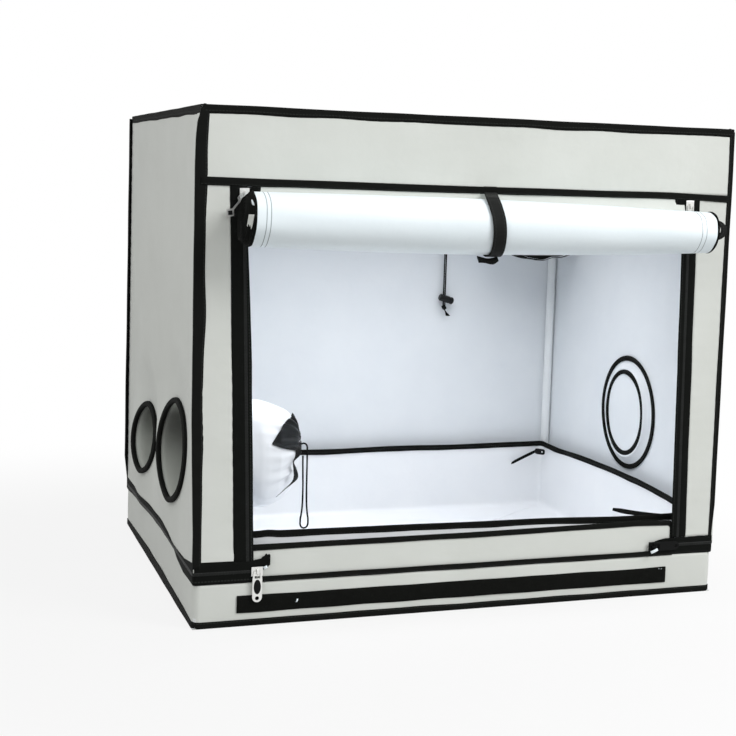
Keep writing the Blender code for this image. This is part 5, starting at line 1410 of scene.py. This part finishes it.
turn = full_turn(220)
share = np.linspace(0, 1, 44)[:, None]
front = np.degrees(np.arctan2(-np.sin(turn), np.cos(turn)))
stations = (-180, -60, -45, -20, 0, 15, 30, 45, 60, 70, 74, 80, 88, 120, 180)
reach = np.interp(front, stations, (6, 8, 16, 36, 45, 49, 56, 74, 88, 98, 82, 44, 18, 8, 6)) / 1000
pleat = np.sin(16 * turn + 3 * np.sin(2 * turn)) + 0.5 * np.sin(37 * turn + 5 * share)
lift = 0.0014 + 0.0010 * share + (0.0003 + 0.0009 * share) * pleat
points = over_ball(reach * (0.02 + 0.98 * share), lift, turn + 0 * share)
cuff = piece(
    "large_sleeve_cuff", [patch(points, (False, True))], (satin, satin),
    behind=(-0.29, -0.13, 0.20),
)
thicken(cuff, 0.0006, 0)

# The end of the cuff's ribbon hangs down beside the cord
middle = through([
    (-0.2233, -0.1680, 0.2191), (-0.2234, -0.1720, 0.2124), (-0.2247, -0.1740, 0.2070),
    (-0.2307, -0.1760, 0.1987), (-0.2289, -0.1780, 0.1888), (-0.2277, -0.1800, 0.1788),
    (-0.2313, -0.1830, 0.1722), (-0.2458, -0.1880, 0.1622), (-0.2599, -0.1920, 0.1520),
], 60)
half = np.concatenate([
    spread((0.0034, 0.0036, 0.0012, 0.0034, 0.0042, 0.0040, 0.0026, 0.0002), 60),
    spread((0.0010, -0.0010, 0.0020, 0.0030, 0.0010, 0.0, 0.0, 0.0), 60),
    spread((0.0010, 0.0005, 0.0003, 0.0002, 0.0012, 0.0024, 0.0020, 0.0002), 60),
], axis=1)
ribbon("cuff_ribbon_end", middle, half[None], 0.0005, satin, behind=(-0.26, 0.2, 0.18))


# BACK VENT
# The exhaust sleeve high on the back wall: a short tube of white cloth that droops into the tent, with black
# tape bound over its open end and over its mouth on the outside.
def on_back(x, z, out):
    """Places on the outside of the back wall."""
    return np.stack([x, OUT_Y + out + 0 * x, z], axis=-1)


vent_ring("back_vent_mouth_binding", BACK_VENT, BACK_VENT_R, on_back, 171)
BACK_REACH, BACK_DRIFT, BACK_DROOP, BACK_GROWTH = 0.1050, 0.0600, 0.0062, 0.12
back_tube = BACK_VENT_R - RING_WIDE
back_line = through([
    (0.0002, back_tube + 0.0050), (0.0060, back_tube), (0.20 * BACK_REACH, back_tube + 0.001),
    (0.55 * BACK_REACH, BACK_VENT_R - 0.003), (0.85 * BACK_REACH, BACK_VENT_R),
    (BACK_REACH, BACK_VENT_R - 0.001),
], 70)
turn = full_turn(160)


def back_duct(depth, radius, grow):
    """The drooping tube: its axis leans right and down, its section grows wide and blunt, and soft folds
    deepen towards the open end."""
    eased = np.clip(depth / BACK_REACH, 0, 1) ** 1.5
    folds = eased * (
        0.0016 * np.cos(8 * turn) + 0.0014 * np.sin(5 * turn + 40 * depth) + 0.0008 * np.sin(17 * turn)
    )
    r = radius + folds + grow
    blunt = (np.abs(np.cos(turn)) ** 3 + np.abs(np.sin(turn)) ** 3) ** (-eased / 3)
    x = BACK_VENT[0] + BACK_DRIFT * eased + (1 + BACK_GROWTH * eased) * r * blunt * np.sin(turn)
    z = BACK_VENT[1] - BACK_DROOP * eased + r * blunt * np.cos(turn) - 0.06 * eased * r * np.sin(turn)
    return np.stack([x, OUT_Y - depth + 0 * turn, z], axis=-1)


points = back_duct(back_line[:, :1], back_line[:, 1:], 0.0)
back_sleeve = piece(
    "back_duct_sleeve", [patch(points, (False, True))], (sleeve_white, sleeve_grey),
    behind=(BACK_VENT[0] + 0.012, 0.25, BACK_VENT[1]),
)
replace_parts(thicken(back_sleeve, SLEEVE_CLOTH), "back_sleeve")
# Its hem is a drawn-up channel of tape, whose lip turns inwards
hem = np.array([
    (0.0880, 0.0009), (0.0885, 0.0014), (0.0960, 0.0016), (0.1035, 0.0012), (0.1056, -0.0008),
    (0.1060, -0.0040), (0.1056, -0.0072), (0.1036, -0.0084), (0.0990, -0.0076), (0.0960, -0.0040),
])
hem_radius = np.interp(hem[:, :1], back_line[:, 0], back_line[:, 1])
round_hem = np.sin(math.pi * np.linspace(0, 1, len(hem)))[:, None]
lumps = 0.0012 * (1 + swell(0.08 * np.sin(turn), 0.08 * np.cos(turn), 177, 0.05)) * round_hem
points = back_duct(hem[:, :1], hem_radius, hem[:, 1:] + lumps * np.where(hem[:, 1:] > 0, 1, -0.5))
piece(
    "back_sleeve_hem_binding", [patch(points, (False, True))], (binding,),
    behind=(BACK_VENT[0] + 0.05, 0.20, BACK_VENT[1] - BACK_DROOP),
)


# RIGHT PORT
# The covered port on the right wall: a ring of binding round the hole, a low white cuff inside, and a closed
# round cover with its own ring of binding.
PORT_INNER_R, PORT_DEEP = 0.0640, 0.0078
PORT_SET = (PORT[0], PORT[1] - 0.0035)


def on_right_inside(y, z, out):
    """Places on the inside of the right wall."""
    return np.stack([OUT_X - CLOTH - out, y + 0 * out, z + 0 * out], axis=-1)


def on_right(y, z, out):
    """Places on the outside of the right wall."""
    return np.stack([OUT_X + out, y, z], axis=-1)


vent_ring("port_wall_binding", PORT_SET, PORT_R, on_right_inside, 181, width=0.0080, thick=0.0036, tall=1.04)
vent_ring("port_outer_binding", PORT_SET, PORT_R, on_right, 183, width=RING_WIDE, thick=0.0022, tall=1.04)
vent_ring(
    "port_cover_binding", PORT_SET, PORT_INNER_R + 0.0010,
    lambda y, z, out: on_right_inside(y, z, out + PORT_DEEP - 0.0012), 185, width=0.0078, thick=0.0030,
    tall=1.13,
)
turn = full_turn(120)
port_line = through([
    (0.0006, PORT_R - 0.0060), (0.0010, PORT_R - 0.0110), (0.0050, PORT_INNER_R + 0.0080),
    (0.0085, PORT_INNER_R + 0.0030), (PORT_DEEP - 0.0008, PORT_INNER_R - 0.0020),
    (PORT_DEEP - 0.0005, 0.0450), (PORT_DEEP + 0.0005, 0.0220), (PORT_DEEP + 0.0010, 0.0),
], 50)
radius = port_line[:, 1:]
y, z = radius * np.sin(turn), radius * np.cos(turn)
out = port_line[:, :1] + 0.0006 * np.clip(radius / 0.02, 0, 1) * swell(y, z, 187, 0.07)
tall = np.interp(radius, (PORT_INNER_R, 0.0865), (1.13, 1.04))
points = on_right_inside(PORT_SET[0] + y, PORT_SET[1] + tall * z, out)
port = piece(
    "port_cover_cloth", [patch(points, (False, True))], (lining, oxford),
    behind=(1.0, PORT[0], PORT[1]),
)
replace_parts(thicken(port, SLEEVE_CLOTH), "right_port")


# DRAWCORDS
# Thin black braided polyester cord. One closes the large sleeve and hangs from it in a long bight; the other
# is hitched through the back sleeve's hem and ends in a barrel lock and a knot.
CORD_D = 0.0026


def cord_tube(path, radius, across, sides=12):
    """A round cord: circles about a path that stays square to the direction across, with the braid's two sets
    of strands standing a little proud, and both ends closed."""
    side = np.cross(heading(path), across)
    side /= np.linalg.norm(side, axis=1)[:, None]
    run = run_of(path, prepend=path[:1])
    turn = full_turn(sides).T
    lay = 2 * math.pi * run / 0.0060
    braid = 1 + 0.05 * np.cos(3 * turn + lay) * np.cos(3 * turn - lay)
    r = (radius * braid)[..., None]
    tube = path + r * (np.cos(turn)[..., None] * side + np.sin(turn)[..., None] * np.array(across, float))
    start, stop = (np.repeat(path[None, k], sides, axis=0)[:, None] for k in (0, -1))
    return patch(np.concatenate([start, tube, stop], axis=1), (True, False))


# Braided polyester: soft black with a fine herringbone of strands, 2 mm to a repeat.
braid_black, tree, shader = finish_of(
    "black_braided_polyester", {"Roughness": 0.8, "Specular IOR Level": 0.08}
)
strands = ribbed(tree, "DIAGONAL", 0.0016)
dress(tree, shader, mixed(tree, strands, "#0A0B0A", "#151615"), strands, 0.5, 0.0003)

# The bight: up over the sleeve's neck, down in front of the ball, and back up beside itself
end_x, y, end_z = -0.2118, -0.1400, 0.2130
half_turn = np.linspace(math.pi, 0, 5)
over = [(-0.0005 + 0.0058 * (1 + math.cos(a)), 0.0058 * math.sin(a)) for a in half_turn]
under = [(0.0091 - 0.0060 * math.cos(a), -0.1165 - 0.0060 * math.sin(a)) for a in half_turn]
bight_line = [
    (-0.0005, -0.0042), *over, (0.0112, -0.0045), (0.0113, -0.0130), (0.0115, -0.0300), (0.0116, -0.0600),
    (0.0122, -0.0850), (0.0136, -0.1000), (0.0149, -0.1075), (0.0151, -0.1120), *under, (0.0031, -0.1120),
    (0.0033, -0.1075), (0.0046, -0.1000), (0.0058, -0.0850), (0.0060, -0.0600), (0.0051, -0.0300),
    (0.0047, -0.0130),
]
path = through([(end_x + out, y, end_z + up) for out, up in bight_line], 80)
bight = piece(
    "drawcord_loop_cord", [cord_tube(path, CORD_D / 2, (0, 1, 0))], (braid_black,),
    behind=(-0.203, y, 0.15),
)
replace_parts(bight, "drawcord_loop")

x, y = 0.1729, 0.2875
left, right, low, lock = x - 0.00155, x + 0.00155, 0.3825, 0.3950
hitch_route = [
    (left, y, low), (left, y, lock), (left, y, 0.4500), (left, y, 0.5000), (left - 0.0005, y, 0.5400),
    (x + 0.0005, y, 0.5610), (x + 0.0070, y, 0.5685), (x + 0.0150, y, 0.5665), (x + 0.0176, y, 0.5595),
    (x + 0.0130, y, 0.5520), (x + 0.0060, y, 0.5400), (right + 0.0003, y, 0.5150), (right, y, 0.5000),
    (right, y, 0.4500), (right, y, lock), (right, y, low),
]
path = through(hitch_route, 420)
hitch = piece(
    "drawcord_back_cord", [cord_tube(path, CORD_D / 2, (0, 1, 0))], (braid_black,),
    behind=(x, y, 0.47),
)
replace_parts(hitch, "drawcord_back")

# The knot: an overhand knot's bulk, with the two cut ends frayed below it
turn = full_turn(48)
knot_line = through([
    (0.0, 0.0), (0.0020, 0.0002), (0.0037, -0.0014), (0.0044, -0.0036), (0.0038, -0.0062), (0.0016, -0.0080),
    (0.0013, -0.0100), (0.0018, -0.0135), (0.0029, -0.0180), (0.0033, -0.0195), (0.0, -0.0188),
], 70)
r, down = knot_line[:, :1], knot_line[:, 1:]
wrap = 0.0007 * np.sin(turn + down / 0.0012) * np.clip(-down / 0.002, 0, 1) * (down > -0.0085)
fray = 0.0009 * np.sin(9 * turn) * np.clip((-down - 0.012) / 0.006, 0, 1)
r = np.maximum(r + (wrap + fray) * np.clip(r / 0.0013, 0, 1), 0)
sway = np.clip((-down - 0.006) / 0.013, 0, 1) * 0.0085
points = np.stack([x + sway + r * np.cos(turn), y + r * np.sin(turn), 0.3822 + down + 0 * turn], axis=-1)
knot = piece(
    "drawcord_knot_tail", [patch(points, (False, True))], (braid_black,), behind=(x, y, 0.375)
)
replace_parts(knot, "drawcord_knot")

# Moulded acetal for the lock: black with a low, even gloss and the mould's fine grain.
acetal = grained(
    "black_moulded_acetal", "#0C0C0D", "#161717", 0.0012, 3.0, 0.15, 0.0002,
    {"Roughness": 0.45, "Specular IOR Level": 0.25},
)
refinish(["cord_lock_body", "cord_lock_button"], acetal)

bpy.context.view_layer.update()
